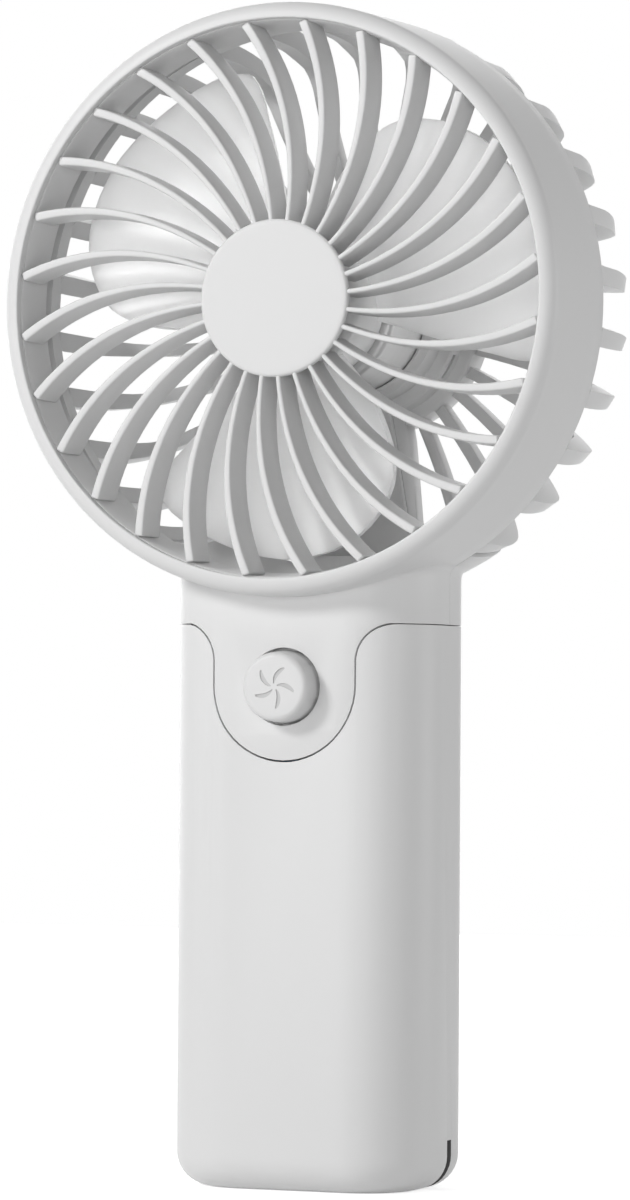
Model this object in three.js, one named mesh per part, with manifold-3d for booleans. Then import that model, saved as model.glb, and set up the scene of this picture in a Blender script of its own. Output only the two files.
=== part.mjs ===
// Handheld battery fan: round head with a spiral grille, three-blade impeller, push button, flat-based grip
// Millimetres. X is right, Y is back, Z is up. The origin is the middle of the flat base.

import * as THREE from 'three';
import { mergeVertices } from 'three/addons/utils/BufferGeometryUtils.js';
import Module from 'manifold-3d';

const wasm = await Module();
wasm.setup();

// Driving dimensions of the whole fan
const cellRadius = 9.2;        // the battery cell that the grip closes round
const cellLength = 65;
const cellMargin = 5.8;        // from the cell to the grip's front and back, on average
const gripSpread = 22.6;       // how much wider the grip is than its cell
const gripCorner = 12;
const rimRadius = 44.3;        // outside of the head at the split between its shells
const lipFront = 20.4;         // front of the lip, ahead of the split
const neckRise = 3.3;          // from the sleeve's top edge to the bottom of the head
const boardHeight = 12.6;
const wall = 1.8;              // sleeve wall
const seam = 0.15;             // clearance between moulded pieces
const seat = 0.2;              // clearance of a piece in its seat
const cellGap = 0.2;           // clearance round the cell and its tabs
const runningGap = 0.5;        // clearance round what turns
const overrun = 3;             // how far a cutting shape runs past what it cuts

// The stack in the grip, from the floor up: chassis, tab, cell, tab, bulkhead, board
const sleeveFloor = 2;
const chassisFloorWall = 1.05;
const tabThickness = 0.3;
const bulkheadThickness = 1;
const chassisFloorTop = sleeveFloor + seam + chassisFloorWall;
const bottomTabBottom = chassisFloorTop + cellGap;
const bottomTabTop = bottomTabBottom + tabThickness;
const cellBottom = bottomTabTop + cellGap;
const cellTop = cellBottom + cellLength;
const topTabBottom = cellTop + cellGap;
const topTabTop = topTabBottom + tabThickness;
const bulkheadBottom = topTabTop + seat;
const bulkheadTop = bulkheadBottom + bulkheadThickness;
const boardBottom = bulkheadTop + seat;
const boardTop = boardBottom + boardHeight;
const gripTop = boardTop;      // top edge of the grip sleeve
const gripDepth = 2 * (cellRadius + cellMargin);
const gripWidth = 2 * cellRadius + gripSpread;
const headHeight = gripTop + neckRise + rimRadius;

// Facets of round shapes
const ringFacets = 48;
const mediumFacets = 24;
const smallFacets = 18;
const pinFacets = 10;
const arcSteps = 3;
const cornerSteps = 8;
const curveSteps = 5;

const down = -Math.PI / 2;
const halfTurn = Math.PI;
const fullTurn = 2 * Math.PI;
const radians = THREE.MathUtils.degToRad;

// Turns a closed geometry into a solid, with its faces pointing out
function solidOf(geometry) {
  const bare = geometry.clone();
  bare.deleteAttribute('normal');
  bare.deleteAttribute('uv');
  const welded = mergeVertices(bare);
  const points = welded.attributes.position.array;
  const source = welded.index.array;
  const kept = [];
  let volume = 0;
  const a = new THREE.Vector3();
  const b = new THREE.Vector3();
  const c = new THREE.Vector3();
  for (let i = 0; i < source.length; i += 3) {
    const [p, q, r] = [source[i], source[i + 1], source[i + 2]];
    if (p === q || q === r || r === p) continue;
    kept.push(p, q, r);
    a.fromArray(points, 3 * p);
    b.fromArray(points, 3 * q);
    c.fromArray(points, 3 * r);
    volume += a.dot(b.cross(c));
  }
  if (volume < 0) kept.reverse();
  return new wasm.Manifold(new wasm.Mesh({
    numProp: 3,
    vertProperties: Float32Array.from(points),
    triVerts: Uint32Array.from(kept),
  }));
}

function geometryOf(solid) {
  const mesh = solid.getMesh();
  const geometry = new THREE.BufferGeometry();
  geometry.setAttribute('position', new THREE.BufferAttribute(Float32Array.from(mesh.vertProperties), 3));
  geometry.setIndex(new THREE.BufferAttribute(Uint32Array.from(mesh.triVerts), 1));
  geometry.computeVertexNormals();
  return geometry;
}

function join(first, ...others) {
  return others.reduce((whole, piece) => whole.add(piece), first);
}

function cut(first, ...tools) {
  return tools.reduce((whole, tool) => whole.subtract(tool), first);
}

// A turned shape round the Y axis, from [radius, y] points
function turned(profile, facets, height = 0) {
  const points = profile.map(([radius, y]) => new THREE.Vector2(radius, y));
  if (profile[0][0] > 0) points.push(points[0].clone());
  return solidOf(new THREE.LatheGeometry(points, facets).translate(0, 0, height));
}

function ringProfile(inner, outer, front, back) {
  return [[inner, front], [outer, front], [outer, back], [inner, back]];
}

// A disc or pin along Y
function discAlongY(x, z, radius, front, back, facets) {
  const disc = new THREE.CylinderGeometry(radius, radius, back - front, facets);
  return solidOf(disc.translate(x, (front + back) / 2, z));
}

// A disc or pin along Z
function discAlongZ(x, y, radius, bottom, top, facets) {
  const disc = new THREE.CylinderGeometry(radius, radius, top - bottom, facets).rotateX(-down);
  return solidOf(disc.translate(x, y, (bottom + top) / 2));
}

function box(x0, x1, y0, y1, z0, z1) {
  const block = new THREE.BoxGeometry(x1 - x0, y1 - y0, z1 - z0);
  return solidOf(block.translate((x0 + x1) / 2, (y0 + y1) / 2, (z0 + z1) / 2));
}

function extruded(shape, depth) {
  return new THREE.ExtrudeGeometry(shape, { depth, bevelEnabled: false, curveSegments: curveSteps });
}

// An outline drawn in X and Z, pushed along Y
function pushedAlongY(shape, front, back, height = 0) {
  return solidOf(extruded(shape, back - front).rotateX(Math.PI / 2).translate(0, back, height));
}

function pushedAlongZ(shape, bottom, top) {
  return solidOf(extruded(shape, top - bottom).translate(0, 0, bottom));
}

// The points of a rounded rectangle, anticlockwise
function roundedPoints(width, depth, corner) {
  const x = width / 2 - corner;
  const y = depth / 2 - corner;
  const corners = [[x, -y, down], [x, y, 0], [-x, y, -down], [-x, -y, halfTurn]];
  return corners.flatMap(([across, along, from]) => (
    arc(across, along, corner, from, from - down, cornerSteps)
  ));
}

function roundedShape(width, depth, corner) {
  return new THREE.Shape(roundedPoints(width, depth, corner).map(([x, y]) => new THREE.Vector2(x, y)));
}

// The grip's section, drawn in by an inset
function gripPoints(inset) {
  return roundedPoints(gripWidth - 2 * inset, gripDepth - 2 * inset, gripCorner - inset);
}

function gripShape(inset) {
  return roundedShape(gripWidth - 2 * inset, gripDepth - 2 * inset, gripCorner - inset);
}

// Points of an arc as [across, along] pairs
function arc(acrossCentre, alongCentre, radius, from, to, steps = arcSteps) {
  return Array.from({ length: steps + 1 }, (_, i) => {
    const angle = from + (to - from) * i / steps;
    return [acrossCentre + radius * Math.cos(angle), alongCentre + radius * Math.sin(angle)];
  });
}

// Closes a stack of rings, each with the same number of points, into one body
function stacked(rings) {
  const count = rings[0].length;
  const points = rings.flat();
  const faces = [];
  for (let level = 0; level < rings.length - 1; level += 1) {
    for (let i = 0; i < count; i += 1) {
      const next = (i + 1) % count;
      const [p, q] = [level * count + i, level * count + next];
      faces.push(p, q, q + count, p, q + count, p + count);
    }
  }
  const flat = rings[0].map(([x, y]) => new THREE.Vector2(x, y));
  for (const [p, q, r] of THREE.ShapeUtils.triangulateShape(flat, [])) {
    const top = count * (rings.length - 1);
    faces.push(q, p, r, top + p, top + q, top + r);
  }
  const geometry = new THREE.BufferGeometry();
  geometry.setAttribute('position', new THREE.Float32BufferAttribute(points.flat(), 3));
  geometry.setIndex(faces);
  return geometry;
}

const insetLimitShare = 0.8;

// A bar that follows a spiral round the Y axis, with its section set at several depths
function spiralBar(stations, levels) {
  const rings = levels.map(({ y, inset }) => {
    const side = (sign) => stations.map(({ radius, angle, half }) => {
      const reach = sign * (half - Math.min(inset, insetLimitShare * half));
      const x = radius * Math.cos(angle) - reach * Math.sin(angle);
      const z = radius * Math.sin(angle) + reach * Math.cos(angle);
      return [x, z, y];
    });
    return [...side(-1), ...side(1).reverse()];
  });
  return stacked(rings).rotateX(Math.PI / 2).scale(1, -1, 1);
}

// Head shells: the ring round the grille, and the lap where the rear shell reaches into it
const ringWall = 3.3;
const crestStep = 0.2;
const lipRound = 2.3;
const lipHook = 1.2;           // depth of the lip's inner edge, which hides the front of the grille's rim
const bayStep = 0.6;           // how much wider the ring is behind that edge
const lapDepth = 11;
const lapWall = 1.15;
const spigotWall = 1.55;
const flangeDepth = 0.8;       // flange of the front grille, held between the two shells
const seatInWallShare = 0.75;

const spigotFront = 2 * seat + flangeDepth - lapDepth;
const boreRadius = rimRadius - ringWall;
const bayRadius = boreRadius + bayStep;
const lipBack = lipHook - lipFront;
const crestRadius = boreRadius + crestStep;
const lapRadius = rimRadius - lapWall;
const spigotOuter = lapRadius - seat;
const spigotRadius = spigotOuter - spigotWall;
const neckCutRadius = rimRadius - seatInWallShare * lapWall;

const frontRing = turned([
  [bayRadius, -lapDepth],
  [bayRadius, lipBack],
  [boreRadius, lipBack],
  [boreRadius, crestRadius - boreRadius - lipFront],
  ...arc(crestRadius, lipRound - lipFront, lipRound, down, 0),
  [rimRadius, -seam],
  [lapRadius, -seam],
  [lapRadius, -lapDepth],
], ringFacets, headHeight);

// Neck: both shells carry half of it, with a spigot that the sleeve slides over
const spigotDepth = 3.6;
const neckSpigotWall = 1.4;
const neckTop = headHeight - Math.sqrt(rimRadius ** 2 - (gripWidth / 2) ** 2) + overrun;
const neckInset = wall + seam + neckSpigotWall;
const neckBottom = gripTop + seam;

function neckHalf(front, back, seatRadius) {
  const outer = pushedAlongZ(gripShape(0), neckBottom, neckTop);
  const spigot = pushedAlongZ(gripShape(wall + seam), gripTop - spigotDepth, neckBottom + overrun);
  const hollow = pushedAlongZ(gripShape(neckInset), gripTop - spigotDepth - overrun, neckTop + overrun);
  const keep = box(-gripWidth, gripWidth, front, back, 0, headHeight);
  const head = discAlongY(0, headHeight, seatRadius, -gripDepth, gripDepth, ringFacets);
  return cut(join(outer, spigot), hollow, head).intersect(keep);
}

// Button tongue: the front shell's plate that runs down into the sleeve
const buttonRise = 3.4;        // from the board's lower edge up to the button
const buttonHeight = boardBottom + buttonRise;
const tongueRadius = 11.3;
const tongueRise = 0.2;        // centre of its half round above the button
const tongueFlare = 5.5;
const tongueWall = 2.2;

function tongueOutline(inset, rise) {
  const radius = tongueRadius - inset;
  const flare = tongueFlare + inset;
  const flareBase = gripTop - tongueFlare;
  const centre = buttonHeight + tongueRise;
  const shape = new THREE.Shape();
  shape.moveTo(-radius - flare, gripTop + inset + rise);
  shape.lineTo(-radius - flare, gripTop + inset);
  shape.absarc(-radius - flare, flareBase, flare, -down, 0, true);
  shape.lineTo(-radius, centre);
  shape.absarc(0, centre, radius, halfTurn, fullTurn, false);
  shape.lineTo(radius, flareBase);
  shape.absarc(radius + flare, flareBase, flare, halfTurn, -down, true);
  shape.lineTo(radius + flare, gripTop + inset + rise);
  return shape;
}

const buttonRadius = 5.6;
const buttonFace = 3.6;        // how far the button stands out of the grip
const buttonGap = 0.3;
const gripFront = gripDepth / 2;

const tongueBlock = pushedAlongZ(gripShape(0), neckBottom - 3 * tongueRadius, neckBottom + overrun);
const hollowBottom = neckBottom - 4 * tongueRadius;
const tongueHollow = pushedAlongZ(gripShape(tongueWall), hollowBottom, neckBottom + 2 * overrun);
const tongueDepth = gripCorner / 2 - gripFront;
const tonguePush = pushedAlongY(tongueOutline(seam, overrun), -gripFront - overrun, tongueDepth);
const tonguePlate = cut(tongueBlock, tongueHollow).intersect(tonguePush);
const buttonHole = discAlongY(0, buttonHeight, buttonRadius + buttonGap, -gripDepth, 0, mediumFacets);

// Screws that hold the two shells together through the neck
const shellScrewAcross = 11.5;
const shellScrewRise = 2.8;
const shellScrewHeight = gripTop + shellScrewRise;
const screwBossRadius = 2.5;
const screwRadius = 0.9;
const screwHeadRadius = 1.8;
const screwHeadLength = 1.3;
const screwSink = 1.6;         // how deep the head lies in its recess
const screwGrip = 5;           // thread length in the front shell
const pilotGap = 0.15;

const bothSides = [-1, 1];
const neckInside = gripFront - neckInset;

function frontScrewBoss(side) {
  const x = side * shellScrewAcross;
  const z = shellScrewHeight;
  const boss = discAlongY(x, z, screwBossRadius, -neckInside - neckSpigotWall, -seam, smallFacets);
  const pilot = discAlongY(x, z, screwRadius + pilotGap, -screwGrip - seat, overrun, pinFacets);
  return { boss, pilot };
}

const flangeRadius = 7;        // retaining flange behind the button's hole
const tongueBack = tongueWall - gripFront;
const flangeSpace = discAlongY(0, buttonHeight, flangeRadius + runningGap, tongueBack, 0, mediumFacets);
const frontBosses = bothSides.map(frontScrewBoss);
const frontShell = cut(
  join(
    frontRing, neckHalf(-gripDepth, -seam, neckCutRadius), tonguePlate,
    ...frontBosses.map((one) => one.boss),
  ),
  ...frontBosses.map((one) => one.pilot),
  buttonHole, flangeSpace,
);

// Rear shell: a shallow dome with turbine fins, a motor cup and a wire duct
const shoulderTaper = 1.9;
const shoulderBack = 16.5;
const domeEdgeStep = 6.4;
const domeEdgeBack = 21.4;
const domeBack = 25.6;
const bossRadius = 17.4;
const bossBack = 27;
const ribDepth = 3.3;
const shoulderInnerStep = 3.1;
const shoulderStep = 1.2;      // how far the inside shoulder lies ahead of the outside one
const finInnerFront = 3;
const innerDraft = 0.5;
const bossLip = 0.7;           // how far the dome reaches into the boss ring
const bendShare = 0.72;
const bossInside = bossRadius - bossLip;
const shoulderRadius = rimRadius - shoulderTaper;
const shoulderInner = shoulderRadius - shoulderInnerStep;
const domeEdge = shoulderRadius - domeEdgeStep;

const outerDome = [
  [rimRadius, 0],
  [(rimRadius + shoulderRadius) / 2, bendShare * shoulderBack],
  [shoulderRadius, shoulderBack],
  [shoulderRadius - wall, shoulderBack + ribDepth],
  [domeEdge, domeEdgeBack],
  [bossInside, domeBack],
];
const innerDome = [
  [bossInside, domeBack - ribDepth],
  [domeEdge, domeEdgeBack - ribDepth],
  [shoulderInner, shoulderBack - shoulderStep],
  [spigotRadius - innerDraft, shoulderBack / 2],
  [spigotRadius, -finInnerFront],
  [spigotRadius, spigotFront],
];
const domeShell = turned([
  [spigotOuter, spigotFront], [spigotOuter, 0], ...outerDome, ...innerDome,
], ringFacets);

// Slots between the fins, each a spiral bar with rounded front corners
const finCount = 30;
const finWidth = 2.3;
const finPhase = 5;
const finSweep = 4.5;          // degrees that a fin turns between the boss and its tip
const slotInner = 17.9;
const slotStations = 2;
const shortSlotStep = 5.3;     // how far short of the rim the slots over the neck stop
const slotFront = 4;
const slotCornerRound = 1.3;
const finPitch = 360 / finCount;
const ductClearAngle = 14;
const neckClearAngle = 33;

function slotBar(index, outerRadius) {
  const tip = finPhase + (index + 0.5) * finPitch;
  const stations = Array.from({ length: slotStations + 1 }, (_, i) => {
    const radius = slotInner + (outerRadius - slotInner) * i / slotStations;
    const along = (radius - slotInner) / (rimRadius - slotInner);
    return {
      radius,
      angle: radians(tip + finSweep * (1 - along ** 2)),
      half: (radians(finPitch) * radius - finWidth) / 2,
    };
  });
  return solidOf(spiralBar(stations, [
    { y: -slotFront, inset: slotCornerRound },
    { y: -slotFront + slotCornerRound, inset: 0 },
    { y: bossBack + overrun, inset: 0 },
  ]));
}

function slotBars() {
  const bars = [];
  for (let index = 0; index < finCount; index += 1) {
    const centre = finPhase + (index + 0.5) * finPitch;
    const fromBottom = Math.abs(centre - 270);
    if (fromBottom < ductClearAngle) continue;
    bars.push(slotBar(index, fromBottom < neckClearAngle ? rimRadius - shortSlotStep : rimRadius + overrun));
  }
  return bars;
}

// Motor, measured along the head axis
const motorRadius = 12;
const motorFront = -1.2;
const canWall = 0.8;
const canBack = 16.5;
const bellBack = 19.8;
const shaftRadius = 1;
const bushRadius = 2.6;
const bushLength = 2.4;
const motorScrewAcross = 8.6;
const cupGap = 0.3;
const cupWall = 1.2;
const cupFront = 11.5;
const cupStep = 17;
const collarStep = 20.8;
const floorThickness = 2;

const cupInner = motorRadius + cupGap;
const cupOuter = cupInner + cupWall;
const floorFront = bellBack + seat;
const floorBack = floorFront + floorThickness;
const capSeatDepth = 1.6;
const capWall = 1.6;           // boss wall round the cap
const capRadius = bossRadius - capWall;
const capLedge = 1.3;

const motorCup = turned([
  [bushRadius, floorFront], [cupInner, floorFront], [cupInner, cupFront], [cupOuter, cupFront],
  [cupOuter, cupStep], [(cupOuter + bossRadius) / 2, cupStep], [(cupOuter + bossRadius) / 2, collarStep],
  [bossRadius, collarStep], [bossRadius, bossBack], [capRadius + seat, bossBack],
  [capRadius + seat, bossBack - capSeatDepth], [capRadius - capLedge, bossBack - capSeatDepth],
  [capRadius - capLedge, floorBack], [bushRadius, floorBack],
], mediumFacets);

// Wire duct down the middle of the rear shell, from the motor cup to the neck
const ductTop = cupInner + cupWall / 2;   // radius where it starts
const ductBottomStep = 2.3;
const ductBottom = rimRadius - ductBottomStep;
const ductTopHalf = 5;
const ductBottomHalf = 10;
const ductFront = 16;
const ductWall = 1.5;
const ductFloor = 18.5;        // back of its channel
const ductEndStep = 3.4;
const ductEnd = ductBottom - ductEndStep;
const footHalf = 5;
const footHeight = 5;
const footTop = ductBottom - footHeight;
const footFront = 3.5;
const footCavityTop = footTop + ductWall;
const footCavityBottom = ductBottom - wall;
const wireHoleFront = footFront + ductWall;
const wireHoleBack = wireHoleFront + 2 * overrun;

function ductOutline(fromRadius, toRadius, inset) {
  const halfAt = (radius) => {
    const along = (radius - ductTop) / (ductBottom - ductTop);
    return ductTopHalf + (ductBottomHalf - ductTopHalf) * along - inset;
  };
  const shape = new THREE.Shape();
  shape.moveTo(-halfAt(fromRadius), -fromRadius);
  shape.lineTo(-halfAt(toRadius), -toRadius);
  shape.lineTo(halfAt(toRadius), -toRadius);
  shape.lineTo(halfAt(fromRadius), -fromRadius);
  return shape;
}

const domeEnvelope = turned([
  [0, spigotFront], [spigotOuter, spigotFront], [spigotOuter, 0], ...outerDome, [0, domeBack],
], ringFacets);
const ductBlock = pushedAlongY(ductOutline(ductTop, ductBottom, 0), ductFront, bossBack).intersect(domeEnvelope);
const ductFoot = box(-footHalf, footHalf, footFront, ductFront + wall, -ductBottom, -footTop)
  .intersect(domeEnvelope);
const ductChannel = pushedAlongY(ductOutline(ductTop - wall, ductEnd, ductWall), ductFront - overrun, ductFloor);
const footHollow = box(ductWall - footHalf, footHalf - ductWall, wireHoleFront, ductFloor,
  -footCavityBottom, -footCavityTop);
const wireHole = box(ductWall - footHalf, footHalf - ductWall, wireHoleFront, wireHoleBack,
  -rimRadius - overrun, -footCavityTop);
const capHollow = turned([
  [0, floorBack], [capRadius - capLedge, floorBack], [capRadius - capLedge, bossBack - capSeatDepth],
  [capRadius + seat, bossBack - capSeatDepth], [capRadius + seat, bossBack + overrun], [0, bossBack + overrun],
], mediumFacets);
const motorScrewHoles = bothSides.map((side) => (
  discAlongY(side * motorScrewAcross, 0, screwRadius + seat, floorFront - overrun, floorBack + overrun, pinFacets)
));

const rearBowl = cut(
  join(cut(domeShell, ...slotBars()), ductBlock, ductFoot, motorCup),
  ductChannel, footHollow, wireHole, capHollow, ...motorScrewHoles,
);

function rearScrewBoss(side) {
  const x = side * shellScrewAcross;
  const boss = discAlongY(x, shellScrewHeight, screwBossRadius, seam, gripFront - wall, smallFacets);
  const hole = discAlongY(x, shellScrewHeight, screwRadius + seat, -overrun, gripDepth, pinFacets);
  const recess = discAlongY(x, shellScrewHeight, screwHeadRadius + seat,
    gripFront - screwSink - screwHeadLength - seam, gripDepth, smallFacets);
  return { boss, hole, recess };
}

const rearBosses = bothSides.map(rearScrewBoss);
const rearNeckRadius = (spigotRadius + lapRadius) / 2;
const bowlOnNeck = solidOf(geometryOf(rearBowl).translate(0, 0, headHeight));
const rearShell = cut(
  join(bowlOnNeck, neckHalf(seam, gripDepth, rearNeckRadius), ...rearBosses.map((one) => one.boss)),
  ...rearBosses.flatMap((one) => [one.hole, one.recess]),
);

// Duct cover: closes the front of the wire duct
const coverThickness = 1.3;
const ductCover = pushedAlongY(
  ductOutline(cupOuter + seat, footTop - seat, 0), ductFront - seam - coverThickness, ductFront - seam,
);

// Rear cap: closes the motor boss over the motor screws
const capThickness = 1.5;
const snapLength = 1.6;
const capSeatFace = bossBack - capSeatDepth + seam;
const snapRadius = capRadius - capLedge - seat;
const rearCap = turned([
  [0, capSeatFace], [snapRadius - capLedge, capSeatFace], [snapRadius - capLedge, capSeatFace - snapLength],
  [snapRadius, capSeatFace - snapLength], [snapRadius, capSeatFace], [capRadius, capSeatFace],
  [capRadius, capSeatFace + capThickness / 2], [capRadius - capThickness / 2, capSeatFace + capThickness],
  [0, capSeatFace + capThickness],
], mediumFacets);

// Front grille: curved vanes between a thin rim, flanged at its back, and a raised centre disc
const vaneCount = 28;
const vanePhase = 7;
const vaneSweep = 16.8;
const vaneCurve = 1.45;        // power that keeps the root near radial
const vaneSegments = 4;
const vaneTip = 1.6;
const vaneRoot = 0.9;
const vaneFront = -19.7;
const vaneDepth = 6.2;
const vaneDraft = 0.15;
const discRadius = 11.6;
const discFront = -20;
const discDepth = 3.4;
const discWall = 1.6;
const rimFrontStep = 0.5;      // how far the rim stands inside the lip's edge, at its front and at its back
const rimBackStep = 0.9;
const vaneTipGap = 0.3;        // from the tips of the vanes to the lip's edge

const rimFront = lipBack + seat;
const grilleOuter = bayRadius - seat;
const grilleFlangeFront = seat - lapDepth;
const grilleFlangeBack = grilleFlangeFront + flangeDepth;

function vane(index) {
  const tipAngle = vanePhase + index * 360 / vaneCount;
  const rootRadius = discRadius - discWall / 2;
  const tipRadius = boreRadius - vaneTipGap;
  const stations = Array.from({ length: vaneSegments + 1 }, (_, i) => {
    const along = i / vaneSegments;
    return {
      radius: rootRadius + (tipRadius - rootRadius) * along,
      angle: radians(tipAngle - vaneSweep * (1 - along ** vaneCurve)),
      half: (vaneRoot + (vaneTip - vaneRoot) * along) / 2,
    };
  });
  return solidOf(spiralBar(stations, [
    { y: vaneFront, inset: 0 },
    { y: vaneFront + vaneDepth, inset: vaneDraft },
  ]));
}

const centreDisc = turned([
  [0, discFront], [discRadius - seat, discFront], [discRadius, discFront + seat],
  [discRadius, discFront + discDepth], [discRadius - discWall, discFront + discDepth],
  [discRadius - discWall, discFront + discWall], [0, discFront + discWall],
], mediumFacets);
const grilleRim = turned([
  [boreRadius - rimFrontStep, rimFront], [grilleOuter, rimFront], [grilleOuter, grilleFlangeFront],
  [lapRadius - seat, grilleFlangeFront], [lapRadius - seat, grilleFlangeBack],
  [boreRadius - rimBackStep, grilleFlangeBack],
], ringFacets);
const frontGrille = join(grilleRim, centreDisc, ...Array.from({ length: vaneCount }, (_, i) => vane(i)));

// Impeller: three broad blades on a hollow hub
const bladeCount = 3;
const hubRadius = 10.5;
const hubFront = -12.8;
const hubWall = 1.5;
const hubBossRadius = 3;
const bladeGap = 3;            // from the blades to the bore
const bladeRadius = boreRadius - bladeGap;
const bladeFront = -10.8;
const bladeBack = -3;
const bladeThickness = 1.2;
const bladeColumns = 6;
const leadingAngle = -15;
const trailingAngle = 72;

const hubGap = 0.8;            // between the hub's rim and the motor
const hubBack = motorFront - hubGap;
const frontBossLength = 1.6;
const bladeSink = 1;           // how far a blade's root reaches into the hub's wall
const bladeRadiusShares = [0, 0.27, 0.51, 0.72, 0.83, 0.92, 0.97, 1];
const leadingShares = [0.04, 0.01, 0, 0, 0, 0.01, 0.03, 0.1];
const trailingShares = [1, 0.99, 0.94, 0.87, 0.79, 0.69, 0.59, 0.46];

// One blade is a helical sheet whose edges are given as shares of its angle
function blade(index) {
  const span = trailingAngle - leadingAngle;
  const bladeRoot = hubRadius - bladeSink;
  const sheet = (side) => bladeRadiusShares.map((share, row) => (
    Array.from({ length: bladeColumns + 1 }, (_, column) => {
      const along = leadingShares[row] + (trailingShares[row] - leadingShares[row]) * column / bladeColumns;
      const angle = radians(leadingAngle + span * along + index * 360 / bladeCount);
      const radius = bladeRoot + (bladeRadius - bladeRoot) * share;
      const y = bladeBack + (bladeFront - bladeBack) * along + side * bladeThickness / 2;
      return [radius * Math.cos(angle), y, radius * Math.sin(angle)];
    })
  ));
  const rows = bladeRadiusShares.length;
  const columns = bladeColumns + 1;
  const points = [...sheet(-1).flat(), ...sheet(1).flat()];
  const back = rows * columns;
  const faces = [];
  for (let row = 0; row < rows - 1; row += 1) {
    for (let column = 0; column < columns - 1; column += 1) {
      const p = row * columns + column;
      faces.push(p, p + 1, p + columns + 1, p, p + columns + 1, p + columns);
      const b = back + p;
      faces.push(b, b + columns + 1, b + 1, b, b + columns, b + columns + 1);
    }
  }
  const edge = [];
  for (let column = 0; column < columns; column += 1) edge.push(column);
  for (let row = 1; row < rows; row += 1) edge.push(row * columns + columns - 1);
  for (let column = columns - 2; column >= 0; column -= 1) edge.push((rows - 1) * columns + column);
  for (let row = rows - 2; row > 0; row -= 1) edge.push(row * columns);
  edge.forEach((p, i) => {
    const q = edge[(i + 1) % edge.length];
    faces.push(q, p, back + p, q, back + p, back + q);
  });
  const geometry = new THREE.BufferGeometry();
  geometry.setAttribute('position', new THREE.Float32BufferAttribute(points.flat(), 3));
  geometry.setIndex(faces);
  return solidOf(geometry);
}

const hubBore = shaftRadius + seam;
const hub = turned([
  [0, hubFront], [hubRadius - hubWall, hubFront], [hubRadius, hubFront + hubWall], [hubRadius, hubBack],
  [hubRadius - hubWall, hubBack], [hubRadius - hubWall, hubFront + hubWall],
  [hubBossRadius, hubFront + hubWall], [hubBossRadius, hubBack - frontBossLength],
  [hubBore, hubBack - frontBossLength], [hubBore, hubFront + hubWall], [0, hubFront + hubWall],
], mediumFacets);
const impeller = join(hub, ...Array.from({ length: bladeCount }, (_, i) => blade(i)));

// Motor pieces
const canInner = motorRadius - canWall;
const bushSeat = bushRadius + seam;
const noseRadius = bushSeat + canWall;
const noseFront = motorFront - frontBossLength;
const motorCan = turned([
  [bushSeat, noseFront], [noseRadius, noseFront], [noseRadius, motorFront], [canInner, motorFront],
  [motorRadius, motorFront + canWall], [motorRadius, canBack], [canInner, canBack],
  [canInner, motorFront + canWall], [bushSeat, motorFront + canWall],
], mediumFacets);

const bellSpigot = 1.3;
const bellInner = 8.2;
const bellFloor = 2;
const bellRadius = motorRadius - seam;
const bellShape = turned([
  [bushSeat, bellBack], [bellRadius, bellBack], [bellRadius, canBack + seat], [canInner - seat, canBack + seat],
  [canInner - seat, canBack - bellSpigot], [bellInner, canBack - bellSpigot], [bellInner, bellBack - bellFloor],
  [bushSeat, bellBack - bellFloor],
], mediumFacets);
const motorScrewGrip = 2.2;
const endBell = cut(bellShape, ...bothSides.map((side) => (
  discAlongY(side * motorScrewAcross, 0, screwRadius + pilotGap, bellBack - motorScrewGrip - seat,
    bellBack + overrun, pinFacets)
)));

function bush(front) {
  return turned(ringProfile(shaftRadius + seam, bushRadius, front, front + bushLength), smallFacets);
}
const frontBush = bush(noseFront + seam);
const rearBush = bush(bellBack - bushLength);

const shaftFront = hubFront + hubWall + seat;
const shaftBack = bellBack + floorThickness / 2;
const shaft = discAlongY(0, 0, shaftRadius, shaftFront, shaftBack, smallFacets);

const magnetThickness = 1.3;
const magnetFront = 1.5;
const magnetBack = 14.5;
const magnetHalfAngle = 58;
const magnetOuter = canInner - seat;
function arcShape(inner, outer, middle, half) {
  const shape = new THREE.Shape();
  shape.absarc(0, 0, outer, middle - half, middle + half, false);
  shape.absarc(0, 0, inner, middle + half, middle - half, true);
  return shape;
}
function magnet(middle) {
  const shape = arcShape(magnetOuter - magnetThickness, magnetOuter, middle, radians(magnetHalfAngle));
  return pushedAlongY(shape, magnetFront, magnetBack);
}

const poleCount = 3;
const coreFront = 3.5;
const coreBack = 12.5;
const coreHub = 3.4;
const shoeThickness = 1.2;
const shoeHalfAngle = 46;
const stemHalf = 1.6;
const coreRadius = magnetOuter - magnetThickness - runningGap;
const shoeInner = coreRadius - shoeThickness;
function turnedPole(geometry, index) {
  return solidOf(geometry.rotateY(-radians(90 + index * 360 / poleCount)));
}
function pole(index) {
  const stem = new THREE.BoxGeometry(shoeInner, coreBack - coreFront, 2 * stemHalf)
    .translate(shoeInner / 2 + seat, (coreFront + coreBack) / 2, 0);
  return turnedPole(stem, index);
}
function shoe(index) {
  const middle = radians(90 + index * 360 / poleCount);
  return pushedAlongY(arcShape(shoeInner, coreRadius, middle, radians(shoeHalfAngle)), coreFront, coreBack);
}
const poles = Array.from({ length: poleCount }, (_, i) => i);
const armatureCore = cut(
  join(discAlongY(0, 0, coreHub, coreFront, coreBack, smallFacets), ...poles.map(pole), ...poles.map(shoe)),
  discAlongY(0, 0, shaftRadius + seam, coreFront - overrun, coreBack + overrun, smallFacets),
);

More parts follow.
